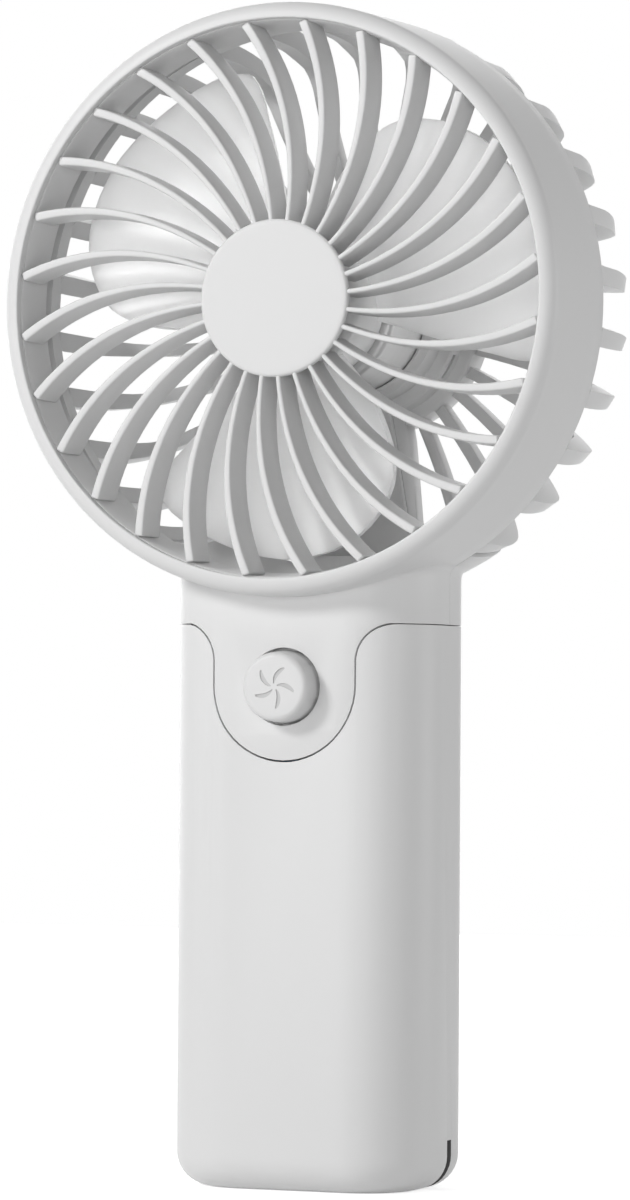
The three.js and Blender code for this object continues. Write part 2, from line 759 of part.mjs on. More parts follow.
const coilBuild = 1.5;
const coilHalf = stemHalf + seat + coilBuild;
const coilInner = coreHub + seat;
const coilOuter = Math.sqrt((shoeInner - seat) ** 2 - coilHalf ** 2);
function coil(index) {
  const middle = (coilInner + coilOuter) / 2;
  const depth = coreBack - coreFront + 2 * seat;
  const outside = new THREE.BoxGeometry(coilOuter - coilInner, depth + coilBuild, 2 * coilHalf)
    .translate(middle, (coreFront + coreBack) / 2, 0);
  const inside = new THREE.BoxGeometry(coilOuter, depth, 2 * (stemHalf + seat))
    .translate(middle, (coreFront + coreBack) / 2, 0);
  return cut(turnedPole(outside, index), turnedPole(inside, index));
}

const commutatorRadius = 2.9;
const commutatorLength = 2.4;
const commutatorFront = coreBack + 1;
const commutator = turned(ringProfile(shaftRadius + seam, commutatorRadius, commutatorFront,
  commutatorFront + commutatorLength), smallFacets);

const brushThickness = 0.4;
const brushHeight = 1.6;
const brushShare = 0.3;        // share of the commutator's length where the brushes bear
const brushY = commutatorFront + brushShare * commutatorLength;
function motorBrush(side) {
  const near = side * (commutatorRadius + seat);
  const far = side * (bellInner - seam);
  return box(Math.min(near, far), Math.max(near, far), brushY, brushY + brushThickness,
    -brushHeight / 2, brushHeight / 2);
}

function screwAlongY(x, z, headBack, length) {
  const headFront = headBack - screwHeadLength;
  const head = discAlongY(x, z, screwHeadRadius, headFront, headBack, smallFacets);
  const shank = discAlongY(x, z, screwRadius, headFront - length, headFront + seam, pinFacets);
  return head.add(shank);
}
function motorScrew(side) {
  const headBack = floorBack + seam + screwHeadLength;
  return screwAlongY(side * motorScrewAcross, 0, headBack, floorThickness + motorScrewGrip);
}
function shellScrew(side) {
  const headBack = gripFront - screwSink;
  const tip = headBack - screwHeadLength + screwGrip;
  return screwAlongY(side * shellScrewAcross, shellScrewHeight, headBack, tip);
}

// Grip sleeve: a tube with a rounded foot, the tongue's cut-out, the charging port's hole and a cord slot
const footRound = 5;
const footSteps = 4;
const portRise = 4.2;          // from the board's lower edge up to the port
const portHeight = boardBottom + portRise;
const portWidth = 9;
const portThickness = 3.3;
const portCorner = 1.5;
const portGap = 0.2;
const cordSlotWidth = 1.7;
const cordSlotTop = 7.3;
const cordSlotDepth = 4.6;
const cordSlotOffset = 1;
const cordBlockWall = 2;
const cordPinRadius = 0.9;
const cordPinAcrossShare = 0.58;
const cordPinHeightShare = 0.42;
const cordPinSeatShare = 0.7;  // share of the block's walls that the pin reaches through

function sleeveBlank() {
  const levels = [];
  for (let step = 0; step <= footSteps; step += 1) {
    const angle = -down * step / footSteps;
    levels.push({ z: footRound * (1 - Math.cos(angle)), inset: footRound * (1 - Math.sin(angle)) });
  }
  levels.push({ z: gripTop, inset: 0 });
  const rings = levels.map(({ z, inset }) => gripPoints(inset).map(([x, y]) => [x, y, z]));
  return solidOf(stacked(rings));
}

const slotLeft = gripWidth / 2 - cordSlotDepth;
const cordSlotFront = cordSlotOffset - cordSlotWidth / 2;
const cordSlotBack = cordSlotOffset + cordSlotWidth / 2;
const sleeveHollow = pushedAlongZ(gripShape(wall), sleeveFloor, gripTop + overrun);
const cordBlock = box(slotLeft - cordBlockWall, gripWidth / 2 - wall / 2, cordSlotFront - cordBlockWall,
  cordSlotBack + cordBlockWall, sleeveFloor / 2, cordSlotTop + cordBlockWall);
const cordSlot = box(slotLeft, gripWidth, cordSlotFront, cordSlotBack, -overrun, cordSlotTop);
const cordPinX = gripWidth / 2 - cordPinAcrossShare * cordSlotDepth;
const cordPinHeight = cordPinHeightShare * cordSlotTop;
const cordPinLength = cordSlotWidth + 2 * cordPinSeatShare * cordBlockWall;
const cordPinHole = discAlongY(cordPinX, cordPinHeight, cordPinRadius + seam,
  cordSlotOffset - cordPinLength / 2 - seam, cordSlotOffset + cordPinLength / 2 + seam, pinFacets);
const cordPin = discAlongY(cordPinX, cordPinHeight, cordPinRadius,
  cordSlotOffset - cordPinLength / 2, cordSlotOffset + cordPinLength / 2, pinFacets);
const tongueOpening = pushedAlongY(tongueOutline(0, overrun), -gripDepth, -gripFront + gripCorner / 2);
const portOpening = pushedAlongY(
  roundedShape(portWidth + 2 * portGap, portThickness + 2 * portGap, portCorner + portGap),
  gripFront - 2 * wall, gripDepth, portHeight,
);
const sleeveTube = cut(sleeveBlank(), sleeveHollow);
const sleeve = cut(join(sleeveTube, cordBlock.intersect(sleeveBlank())), tongueOpening, portOpening, cordSlot,
  cordPinHole);

// Button: cap, retaining flange and stem in one moulding
const buttonRound = 0.9;
const buttonDraft = 0.3;
const flangeThickness = 1;
const stemRadius = 1.6;
const buttonTravel = 0.5;
const flangeFront = tongueBack + seat;
const buttonFront = -gripFront - buttonFace;
const boardFront = 2;
const switchBody = 6;
const switchHeight = 3.5;
const actuatorRadius = 1.7;
const actuatorReach = 1.2;
const switchFront = boardFront - seam - switchHeight;
const actuatorFront = switchFront - actuatorReach;
const buttonCap = turned([
  [0, buttonFront], [buttonRadius - buttonDraft - buttonRound, buttonFront],
  ...arc(buttonRadius - buttonDraft - buttonRound, buttonFront + buttonRound, buttonRound, down, 0).slice(1),
  [buttonRadius, flangeFront], [flangeRadius, flangeFront], [flangeRadius, flangeFront + flangeThickness],
  [stemRadius, flangeFront + flangeThickness], [stemRadius, actuatorFront - seam], [0, actuatorFront - seam],
], mediumFacets);

// Tact switch under the button
const actuatorWell = actuatorReach + buttonTravel + seat;
const switchCase = cut(
  box(-switchBody / 2, switchBody / 2, switchFront, boardFront - seam, -switchBody / 2, switchBody / 2),
  discAlongY(0, 0, actuatorRadius + seat, switchFront - overrun, switchFront + actuatorWell, smallFacets),
);
const actuatorBack = switchFront + actuatorWell - buttonTravel - seat;
const actuator = discAlongY(0, 0, actuatorRadius, actuatorFront, actuatorBack, smallFacets);

// Battery cell and its tabs
const cellBack = 2.2;          // cell axis behind the middle of the grip
const terminalRadius = 3;
const terminalRise = 0.8;
const tabHalf = 3;
const stripWidth = 2;
const stripReach = 0.4;        // clearance between a strip and the cell or switch beside it
const boardThickness = 1.5;

const canTop = cellTop - terminalRise;
const cell = join(
  discAlongZ(0, cellBack, cellRadius, cellBottom, canTop, mediumFacets),
  discAlongZ(0, cellBack, terminalRadius, canTop - terminalRise, cellTop, smallFacets),
);
const boardBack = boardFront + boardThickness;
const stripNear = switchBody / 2 + stripReach;
const stripFar = stripNear + stripWidth;
const stripBack = boardFront - seam;
const solderTop = boardBottom + stripWidth;
const stripFront = cellBack - cellRadius - stripReach - tabThickness;
const crossingBottom = bulkheadTop + seat;

const topTab = join(
  box(-stripFar, tabHalf, cellBack - tabHalf, cellBack + tabHalf, topTabBottom, topTabTop),
  box(-stripFar, -stripNear, stripBack - tabThickness, stripBack, topTabBottom, solderTop),
);
const bottomTab = join(
  box(-tabHalf, stripFar, stripFront, cellBack + tabHalf, bottomTabBottom, bottomTabTop),
  box(stripNear, stripFar, stripFront, stripFront + tabThickness, bottomTabBottom, crossingBottom + tabThickness),
  box(stripNear, stripFar, stripFront, stripBack, crossingBottom, crossingBottom + tabThickness),
  box(stripNear, stripFar, stripBack - tabThickness, stripBack, crossingBottom, solderTop),
);

// Chassis: holds the cell in a half trough and carries the board on posts
const chassisWall = 1.3;
const chassisGap = 0.4;
const boardHalf = 11;
const boardScrewDrop = 2.4;
const boardScrewLength = 4;
const postAcross = 8.4;
const postHalf = 1.7;
const postDepth = 4;
const troughShare = 0.25;      // share of the cell radius where the trough's lips end

const boardScrewHeight = boardTop - boardScrewDrop;
const postFront = boardBack + seam;
const troughBore = cellRadius + cellGap;
const trough = cut(
  discAlongZ(0, cellBack, troughBore + chassisWall, sleeveFloor + seam, bulkheadTop, mediumFacets),
  discAlongZ(0, cellBack, troughBore, chassisFloorTop, bulkheadBottom, mediumFacets),
).intersect(box(-gripWidth, gripWidth, cellBack + troughShare * cellRadius, gripDepth, 0, gripTop));
const chassisInset = wall + chassisGap;
const chassisFloor = pushedAlongZ(gripShape(chassisInset), sleeveFloor + seam, chassisFloorTop);
const bulkheadFront = tongueBack + seat + flangeThickness + buttonTravel + runningGap;
const bulkhead = pushedAlongZ(gripShape(chassisInset), bulkheadBottom, bulkheadTop)
  .intersect(box(-gripWidth, gripWidth, bulkheadFront, gripDepth, 0, gripTop));
const posts = bothSides.map((side) => (
  box(side * postAcross - postHalf, side * postAcross + postHalf, postFront, postFront + postDepth,
    bulkheadBottom, boardTop)
));
const boardPilots = bothSides.map((side) => (
  discAlongY(side * postAcross, boardScrewHeight, screwRadius + pilotGap, 0, boardFront + boardScrewLength + seat,
    pinFacets)
));
const topTabNotch = box(-stripFar - seat, -stripNear + seat, 0, boardFront, 0, gripTop);
const bottomTabNotch = box(stripNear - seat, stripFar + seat, -gripDepth, stripFront + tabThickness + seat,
  chassisFloorTop, gripTop);
const cordBlockSpace = box(slotLeft - cordBlockWall - seat, gripWidth, cordSlotFront - cordBlockWall - seat,
  cordSlotBack + cordBlockWall + seat, 0, chassisFloorTop + overrun);
const chassis = cut(
  join(trough, chassisFloor, cut(bulkhead, topTabNotch, bottomTabNotch), ...posts),
  ...boardPilots, cordBlockSpace,
);

// Main board, its screws, its chips and the charging port
const chipWidth = 4;
const chipThickness = 1;
const chipAcross = 7.7;
const chipDrop = 5;            // from the board screws down to the chips

const partFront = boardFront - seam;
const mainBoard = cut(
  box(-boardHalf, boardHalf, boardFront, boardBack, boardBottom, boardTop),
  ...bothSides.map((side) => (
    discAlongY(side * postAcross, boardScrewHeight, screwRadius + seat, 0, boardBack + overrun, pinFacets)
  )),
);

function boardScrew(side) {
  const x = side * postAcross;
  const headFront = partFront - screwHeadLength;
  const head = discAlongY(x, boardScrewHeight, screwHeadRadius, headFront, partFront, smallFacets);
  const tip = boardFront + boardScrewLength;
  const shank = discAlongY(x, boardScrewHeight, screwRadius, partFront - seam, tip, pinFacets);
  return head.add(shank);
}

function chip(side) {
  const top = boardScrewHeight - chipDrop;
  const middle = side * chipAcross;
  const half = chipWidth / 2;
  return box(middle - half, middle + half, partFront - chipThickness, partFront, top - chipWidth, top);
}

const portWall = 0.35;
const portSink = 0.3;
const portBase = 1;
const contactWidth = 6.7;
const contactThickness = 0.7;
const contactSink = 0.8;

const portFront = boardBack + seam;
const portBack = gripFront - portSink;
const portBore = portFront + portBase;
function portShape(inset) {
  return roundedShape(portWidth - 2 * inset, portThickness - 2 * inset, portCorner - inset);
}
const portCase = cut(
  pushedAlongY(portShape(0), portFront, portBack),
  pushedAlongY(portShape(portWall), portBore, portBack + overrun),
);
const portTongue = box(-contactWidth / 2, contactWidth / 2, portBore + seam, portBack - contactSink,
  -contactThickness / 2, contactThickness / 2);

// Motor leads: from the back of the board, through the neck and the duct, to the motor's side
const leadRadius = 0.6;
const leadSpread = 1.3;
const leadSides = 6;
const leadStepsPerPoint = 2;
const solderDrop = 3;          // from the board's top edge down to the solder joints

const leadBehindBoard = boardBack + seat + leadRadius;
const holeMiddle = (wireHoleFront + wireHoleBack) / 2;
const cavityMiddle = (footCavityTop + footCavityBottom) / 2;
const channelMiddle = (ductFront + ductFloor) / 2;

function leadSection() {
  const section = new THREE.Shape();
  for (let i = 0; i < leadSides; i += 1) {
    const angle = fullTurn * i / leadSides;
    const point = [leadRadius * Math.cos(angle), leadRadius * Math.sin(angle)];
    if (i === 0) section.moveTo(...point);
    else section.lineTo(...point);
  }
  section.closePath();
  return section;
}

function motorLead(side) {
  const x = side * leadSpread;
  const cavityHeight = headHeight - cavityMiddle;
  const route = [
    [leadBehindBoard, boardTop - solderDrop],
    [leadBehindBoard, boardTop],
    [holeMiddle, headHeight - rimRadius + leadRadius],
    [holeMiddle + leadRadius, cavityHeight - leadSpread],
    [wireHoleBack, cavityHeight],
    [channelMiddle - 2 * leadSpread, cavityHeight],
    [channelMiddle, cavityHeight + leadSpread],
    [channelMiddle, headHeight - footTop],
    [channelMiddle, headHeight - (footTop + cupOuter) / 2],
    [channelMiddle, headHeight - cupOuter],
    [channelMiddle, headHeight - motorRadius - seat],
  ].map(([y, z]) => new THREE.Vector3(x, y, z));
  return solidOf(new THREE.ExtrudeGeometry(leadSection(), {
    steps: leadStepsPerPoint * route.length,
    bevelEnabled: false,
    extrudePath: new THREE.CatmullRomCurve3(route),
  }));
}

// Finishes, and the scene graph
const finishes = {
  shell: { color: 0xe9e9e7, roughness: 0.52, metalness: 0 },
  trim: { color: 0xeeeeec, roughness: 0.45, metalness: 0 },
  inner: { color: 0x5a5c5e, roughness: 0.6, metalness: 0 },
  steel: { color: 0xb9bcc0, roughness: 0.35, metalness: 1 },
  darkSteel: { color: 0x55585c, roughness: 0.45, metalness: 1 },
  brass: { color: 0xc9a24a, roughness: 0.35, metalness: 1 },
  copper: { color: 0xb0673a, roughness: 0.4, metalness: 1 },
  board: { color: 0x2f6b45, roughness: 0.5, metalness: 0 },
  black: { color: 0x1d1e20, roughness: 0.5, metalness: 0 },
  red: { color: 0xb32a22, roughness: 0.5, metalness: 0 },
  cell: { color: 0x3f6fa0, roughness: 0.4, metalness: 0 },
};

function node(name, solid, finish) {
  const mesh = new THREE.Mesh(geometryOf(solid), new THREE.MeshStandardMaterial(finishes[finish]));
  mesh.name = name;
  return mesh;
}

// The left and right copies of a piece
function pair(name, shapeOf, finish) {
  return bothSides.map((side) => node(`${name}_${side < 0 ? 'left' : 'right'}`, shapeOf(side), finish));
}

const handheldFan = new THREE.Group();
handheldFan.name = 'handheld_fan';

const head = new THREE.Group();
head.name = 'head_axis';
head.position.z = headHeight;
head.add(
  node('front_grille', frontGrille, 'shell'),
  node('wire_duct_cover', ductCover, 'shell'),
  node('rear_cap', rearCap, 'shell'),
  node('impeller', impeller, 'trim'),
  node('motor_shaft', shaft, 'steel'),
  node('motor_can', motorCan, 'steel'),
  node('motor_end_bell', endBell, 'trim'),
  node('motor_magnet_right', magnet(0), 'black'),
  node('motor_magnet_left', magnet(halfTurn), 'black'),
  node('armature_core', armatureCore, 'darkSteel'),
  ...poles.map((index) => node(`armature_coil_${index + 1}`, coil(index), 'copper')),
  node('commutator', commutator, 'copper'),
  node('front_bush', frontBush, 'brass'),
  node('rear_bush', rearBush, 'brass'),
  ...pair('motor_brush', motorBrush, 'brass'),
  ...pair('motor_screw', motorScrew, 'steel'),
);

const button = new THREE.Group();
button.name = 'button_axis';
button.position.z = buttonHeight;
button.add(
  node('button_cap', buttonCap, 'trim'),
  node('tact_switch', switchCase, 'black'),
  node('switch_actuator', actuator, 'black'),
);

const port = new THREE.Group();
port.name = 'port_axis';
port.position.z = portHeight;
port.add(
  node('usb_port', portCase, 'steel'),
  node('usb_tongue', portTongue, 'black'),
);

handheldFan.add(
  head,
  button,
  port,
  node('front_shell', frontShell, 'shell'),
  node('rear_shell', rearShell, 'shell'),
  node('handle_sleeve', sleeve, 'shell'),
  ...pair('shell_screw', shellScrew, 'steel'),
  node('cord_pin', cordPin, 'steel'),
  node('chassis', chassis, 'inner'),
  node('battery_cell', cell, 'cell'),
  node('battery_tab_top', topTab, 'steel'),
  node('battery_tab_bottom', bottomTab, 'steel'),
  node('main_board', mainBoard, 'board'),
  ...pair('board_screw', boardScrew, 'steel'),
  ...pair('board_chip', chip, 'black'),
  node('motor_wire_red', motorLead(-1), 'red'),
  node('motor_wire_black', motorLead(1), 'black'),
);

export default handheldFan;
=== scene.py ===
# Handheld battery fan: white moulded shells, a curved grille, three broad blades and a push button
import math
import bpy
import bmesh
from mathutils import Matrix, Vector


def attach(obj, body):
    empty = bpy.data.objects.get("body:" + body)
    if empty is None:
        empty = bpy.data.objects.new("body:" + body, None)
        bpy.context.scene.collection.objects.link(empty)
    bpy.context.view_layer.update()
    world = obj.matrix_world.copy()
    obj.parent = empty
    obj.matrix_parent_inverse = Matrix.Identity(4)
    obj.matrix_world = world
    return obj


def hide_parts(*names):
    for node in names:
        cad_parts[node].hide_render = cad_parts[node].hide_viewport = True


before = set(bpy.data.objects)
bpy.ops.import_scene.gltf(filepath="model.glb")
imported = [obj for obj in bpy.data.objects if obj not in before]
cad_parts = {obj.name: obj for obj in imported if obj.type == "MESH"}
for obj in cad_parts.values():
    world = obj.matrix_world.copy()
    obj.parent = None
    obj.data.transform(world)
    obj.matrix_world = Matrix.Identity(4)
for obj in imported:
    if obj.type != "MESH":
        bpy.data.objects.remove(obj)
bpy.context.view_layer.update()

mm = 0.001
fullTurn = 2 * math.pi
weldDistance = 0.002 * mm
nearAxis = 0.001 * mm

# sizes are in millimetres: a cut runs past what it cuts by the overcut, or past the whole fan by the reach
fan = {"headHeight": 131, "rimRadius": 44.3, "gripWidth": 41, "gripDepth": 30, "gripCorner": 12,
       "gripTop": 83.4, "seam": 0.15, "wall": 1.8, "overcut": 3, "reach": 40, "cornerSteps": 20,
       "turnSteps": 160, "shadeAngle": 32}
headHeight = fan["headHeight"] * mm
axisCentre = (0, 0, headHeight)


# small modelling helpers, all through the usual operators

def deselectAll():
    for thing in bpy.context.selected_objects:
        thing.select_set(False)


def activate(piece):
    deselectAll()
    piece.select_set(True)
    bpy.context.view_layer.objects.active = piece


def editPiece(piece, mode="VERT", choice="DESELECT"):
    activate(piece)
    bpy.ops.object.mode_set(mode="EDIT")
    bpy.ops.mesh.select_mode(type=mode)
    bpy.ops.mesh.select_all(action=choice)


def selectEdges(piece, belongs):
    # in edit mode, the edges whose two ends both pass a test
    shape = bmesh.from_edit_mesh(piece.data)
    for edge in shape.edges:
        edge.select_set(all(belongs(vertex.co) for vertex in edge.verts))
    bmesh.update_edit_mesh(piece.data)


def leaveEdit():
    bpy.ops.object.mode_set(mode="OBJECT")


def tidyMesh(piece):
    editPiece(piece, "VERT", "SELECT")
    bpy.ops.mesh.remove_doubles(threshold=weldDistance)
    bpy.ops.mesh.normals_make_consistent(inside=False)
    leaveEdit()


def nameNew(name):
    piece = bpy.context.object
    piece.name = name
    piece.data.name = name
    return piece


def placeNew(name):
    bpy.ops.object.transform_apply(location=True, rotation=True, scale=True)
    return nameNew(name)


def addOutline(name, points, filled=False):
    deselectAll()
    fill = "NGON" if filled else "NOTHING"
    bpy.ops.mesh.primitive_circle_add(vertices=len(points), radius=mm, fill_type=fill)
    piece = nameNew(name)
    for vertex, point in zip(piece.data.vertices, points):
        vertex.co = point
    return piece


def arcPoints(across, along, radius, startDegrees, endDegrees, steps):
    points = []
    for step in range(steps + 1):
        angle = math.radians(startDegrees + (endDegrees - startDegrees) * step / steps)
        points.append((across + radius * math.cos(angle), along + radius * math.sin(angle)))
    return points


def alongTable(table, share):
    place = share * (len(table) - 1)
    index = min(int(place), len(table) - 2)
    rest = place - index
    return tuple(a + (b - a) * rest for a, b in zip(table[index], table[index + 1]))


def headPoint(radius, angle, y):
    # a place from its radius and its angle round the head axis
    return (radius * mm * math.cos(angle), y * mm, headHeight + radius * mm * math.sin(angle))


def headRadius(point):
    return math.hypot(point.x, point.z - headHeight) / mm


def evenTurns(count):
    return [index * 360 / count for index in range(count)]


def turnProfile(name, profile, steps=fan["turnSteps"], height=headHeight, onAxis=False):
    # profile is a closed outline of (radius, y), spun round the Y axis at a height
    piece = addOutline(name, [(radius * mm, y * mm, height) for radius, y in profile])
    editPiece(piece, "EDGE")
    if onAxis:
        selectEdges(piece, lambda point: abs(point.x) < nearAxis)
        bpy.ops.mesh.delete(type="EDGE")
    bpy.ops.mesh.select_all(action="SELECT")
    bpy.ops.mesh.spin(steps=steps, angle=fullTurn, center=(0, 0, height), axis=(0, 1, 0))
    leaveEdit()
    tidyMesh(piece)
    return piece


def turnSector(name, profile, middleDegrees, halfDegrees, steps):
    # part of a turn round the head axis, closed at both ends
    start = math.radians(middleDegrees - halfDegrees)
    piece = addOutline(name, [headPoint(radius, start, y) for radius, y in profile], filled=True)
    editPiece(piece, "FACE", "SELECT")
    bpy.ops.mesh.spin(steps=steps, angle=math.radians(2 * halfDegrees), center=axisCentre, axis=(0, 1, 0))
    leaveEdit()
    tidyMesh(piece)
    return piece


def pushOutline(name, points, move):
    piece = addOutline(name, points, filled=True)
    editPiece(piece, "FACE", "SELECT")
    bpy.ops.mesh.extrude_region_move(TRANSFORM_OT_translate={"value": move})
    leaveEdit()
    tidyMesh(piece)
    return piece


def addSheet(name, across, along, place):
    # a grid whose corners run from 0 to 1 both ways, put in place point by point
    deselectAll()
    bpy.ops.mesh.primitive_grid_add(x_subdivisions=across, y_subdivisions=along, size=1)
    piece = nameNew(name)
    for vertex in piece.data.vertices:
        vertex.co = place(vertex.co.x + 0.5, vertex.co.y + 0.5)
    return piece


def addDisc(name, x, z, radius, front, back, steps):
    deselectAll()
    middle = (x * mm, (front + back) / 2 * mm, z * mm)
    bpy.ops.mesh.primitive_cylinder_add(vertices=steps, radius=radius * mm, depth=(back - front) * mm,
                                        location=middle, rotation=(math.pi / 2, 0, 0))
    return placeNew(name)


def addBlock(name, low, high):
    deselectAll()
    size = [(b - a) * mm for a, b in zip(low, high)]
    middle = [(a + b) / 2 * mm for a, b in zip(low, high)]
    bpy.ops.mesh.primitive_cube_add(size=1, location=middle, scale=size)
    return placeNew(name)


def applyModifier(piece, modifier):
    activate(piece)
    bpy.ops.object.modifier_apply(modifier=modifier.name)


def carve(piece, tool, operation="DIFFERENCE"):
    modifier = piece.modifiers.new("carve", "BOOLEAN")
    modifier.operation = operation
    modifier.solver = "EXACT"
    modifier.object = tool
    applyModifier(piece, modifier)
    bpy.data.objects.remove(tool)


def drill(piece, x, z, radius, front, back, steps):
    carve(piece, addDisc("drill", x, z, radius, front, back, steps))


def thicken(piece, thickness, weights=None):
    modifier = piece.modifiers.new("thicken", "SOLIDIFY")
    modifier.thickness = thickness * mm
    modifier.offset = 0
    modifier.use_even_offset = True
    if weights:
        modifier.vertex_group = weights
    applyModifier(piece, modifier)


def roundEdges(piece, width, segments=2, angle=35):
    modifier = piece.modifiers.new("round", "BEVEL")
    modifier.width = width * mm
    modifier.segments = segments
    modifier.limit_method = "ANGLE"
    modifier.angle_limit = math.radians(angle)
    modifier.miter_outer = "MITER_ARC"
    applyModifier(piece, modifier)


def holdWithin(piece, limit):
    # corners that stick out past a radius round the head axis are drawn back to it
    for vertex in piece.data.vertices:
        radius = headRadius(vertex.co)
        if radius > limit:
            vertex.co.x *= limit / radius
            vertex.co.z = headHeight + (vertex.co.z - headHeight) * limit / radius


def joinPieces(name, pieces):
    activate(pieces[0])
    for piece in pieces[1:]:
        piece.select_set(True)
    bpy.ops.object.join()
    return nameNew(name)


def turnedCopies(piece, angles):
    # the piece copied round the head axis, each copy with its own mesh
    copies = []
    outwards = Matrix.Translation(axisCentre)
    inwards = Matrix.Translation([-part for part in axisCentre])
    for angle in angles:
        copy = piece.copy()
        copy.data = piece.data.copy()
        bpy.context.collection.objects.link(copy)
        copy.data.transform(outwards @ Matrix.Rotation(-math.radians(angle), 4, "Y") @ inwards)
        copies.append(copy)
    bpy.data.objects.remove(piece)
    return copies


def gripPoints(inset, z):
    x = fan["gripWidth"] / 2 - fan["gripCorner"]
    y = fan["gripDepth"] / 2 - fan["gripCorner"]
    corners = [(x, -y, -90), (x, y, 0), (-x, y, 90), (-x, -y, 180)]
    points = []
    for across, along, start in corners:
        points += arcPoints(across, along, fan["gripCorner"] - inset, start, start + 90, fan["cornerSteps"])
    return [(px * mm, py * mm, z * mm) for px, py in points]


def gripBlock(name, inset, bottom, top):
    return pushOutline(name, gripPoints(inset, bottom), (0, 0, (top - bottom) * mm))


# finishes: shared effects first, then one material for each

def grey(value):
    return (value, value, value, 1)


def addSockets(group, colours, levels):
    # named inputs with their usual values, and the outputs that every effect gives
    for name, value in {**colours, **levels}.items():
        kind = "NodeSocketColor" if name in colours else "NodeSocketFloat"
        socket = group.interface.new_socket(name=name, in_out="INPUT", socket_type=kind)
        socket.default_value = grey(value) if name in colours else value
    for name, kind in (("Colour", "Color"), ("Roughness", "Float"), ("Height", "Float")):
        group.interface.new_socket(name=name, in_out="OUTPUT", socket_type="NodeSocket" + kind)
    return group.nodes.new("NodeGroupInput"), group.nodes.new("NodeGroupOutput")


def addNoise(group, vector, scale, detail):
    noise = group.nodes.new("ShaderNodeTexNoise")
    noise.inputs["Detail"].default_value = detail
    group.links.new(vector, noise.inputs["Vector"])
    group.links.new(scale, noise.inputs["Scale"])
    return noise.outputs["Fac"]


def mixInputs(group, entry, ends, lead, target, kind="FLOAT"):
    # a value between two of the group's inputs, led by a texture
    mix = group.nodes.new("ShaderNodeMix")
    mix.data_type = kind
    group.links.new(lead, mix.inputs["Factor"])
    group.links.new(entry.outputs[ends[0]], mix.inputs["A"])
    group.links.new(entry.outputs[ends[1]], mix.inputs["B"])
    group.links.new(mix.outputs["Result"], target)


def makeMouldedSkin():
    # fine spark grain and slow cloudiness of moulded plastic
    group = bpy.data.node_groups.new("mouldedSkin", "ShaderNodeTree")
    entry, leave = addSockets(group, {"Light Colour": 0.8, "Shade Colour": 0.7},
                              {"Grain Scale": 3000, "Cloud Scale": 40, "Smooth": 0.4, "Rough": 0.5})
    place = group.nodes.new("ShaderNodeTexCoord").outputs["Object"]
    cloud = addNoise(group, place, entry.outputs["Cloud Scale"], 3)
    grain = addNoise(group, place, entry.outputs["Grain Scale"], 2)
    cells = group.nodes.new("ShaderNodeTexVoronoi")
    relief = group.nodes.new("ShaderNodeMath")
    relief.operation = "ADD"
    link = group.links.new
    link(place, cells.inputs["Vector"])
    link(entry.outputs["Grain Scale"], cells.inputs["Scale"])
    mixInputs(group, entry, ("Light Colour", "Shade Colour"), cloud, leave.inputs["Colour"], "RGBA")
    mixInputs(group, entry, ("Smooth", "Rough"), grain, leave.inputs["Roughness"])
    link(grain, relief.inputs[0])
    link(cells.outputs["Distance"], relief.inputs[1])
    link(relief.outputs["Value"], leave.inputs["Height"])
    return group


def makeDrawnMetal():
    # fine rings round the Y axis, with slow tarnish, for turned, drawn or rolled metal
    group = bpy.data.node_groups.new("drawnMetal", "ShaderNodeTree")
    entry, leave = addSockets(group, {"Bright Colour": 0.8, "Dull Colour": 0.5},
                              {"Line Scale": 900, "Tarnish Scale": 120, "Smooth": 0.25, "Rough": 0.45})
    place = group.nodes.new("ShaderNodeTexCoord").outputs["Object"]
    stretch = group.nodes.new("ShaderNodeMapping")
    stretch.inputs["Scale"].default_value = (0.04, 1, 0.04)
    group.links.new(place, stretch.inputs["Vector"])
    lines = addNoise(group, stretch.outputs["Vector"], entry.outputs["Line Scale"], 4)
    tarnish = addNoise(group, place, entry.outputs["Tarnish Scale"], 5)
    mixInputs(group, entry, ("Bright Colour", "Dull Colour"), tarnish, leave.inputs["Colour"], "RGBA")
    mixInputs(group, entry, ("Smooth", "Rough"), lines, leave.inputs["Roughness"])
    group.links.new(lines, leave.inputs["Height"])
    return group


mouldedSkin = makeMouldedSkin()
drawnMetal = makeDrawnMetal()


def makeFinish(name, group, values, bump, shader={}):
    # one Principled material: values go to the effect's inputs in their order, bump is strength and depth,
    # and shader holds what is the same all over
    material = bpy.data.materials.new(name)
    material.use_nodes = True
    nodes = material.node_tree.nodes
    link = material.node_tree.links.new
    surface = nodes["Principled BSDF"]
    effect = nodes.new("ShaderNodeGroup")
    effect.node_tree = group
    for socket, value in zip(effect.inputs, values):
        socket.default_value = value
    for key, value in shader.items():
        surface.inputs[key].default_value = value
    relief = nodes.new("ShaderNodeBump")
    relief.inputs["Strength"].default_value = bump[0]
    relief.inputs["Distance"].default_value = bump[1] * mm
    link(effect.outputs["Colour"], surface.inputs["Base Color"])
    link(effect.outputs["Roughness"], surface.inputs["Roughness"])
    link(effect.outputs["Height"], relief.inputs["Height"])
    link(relief.outputs["Normal"], surface.inputs["Normal"])
    return material


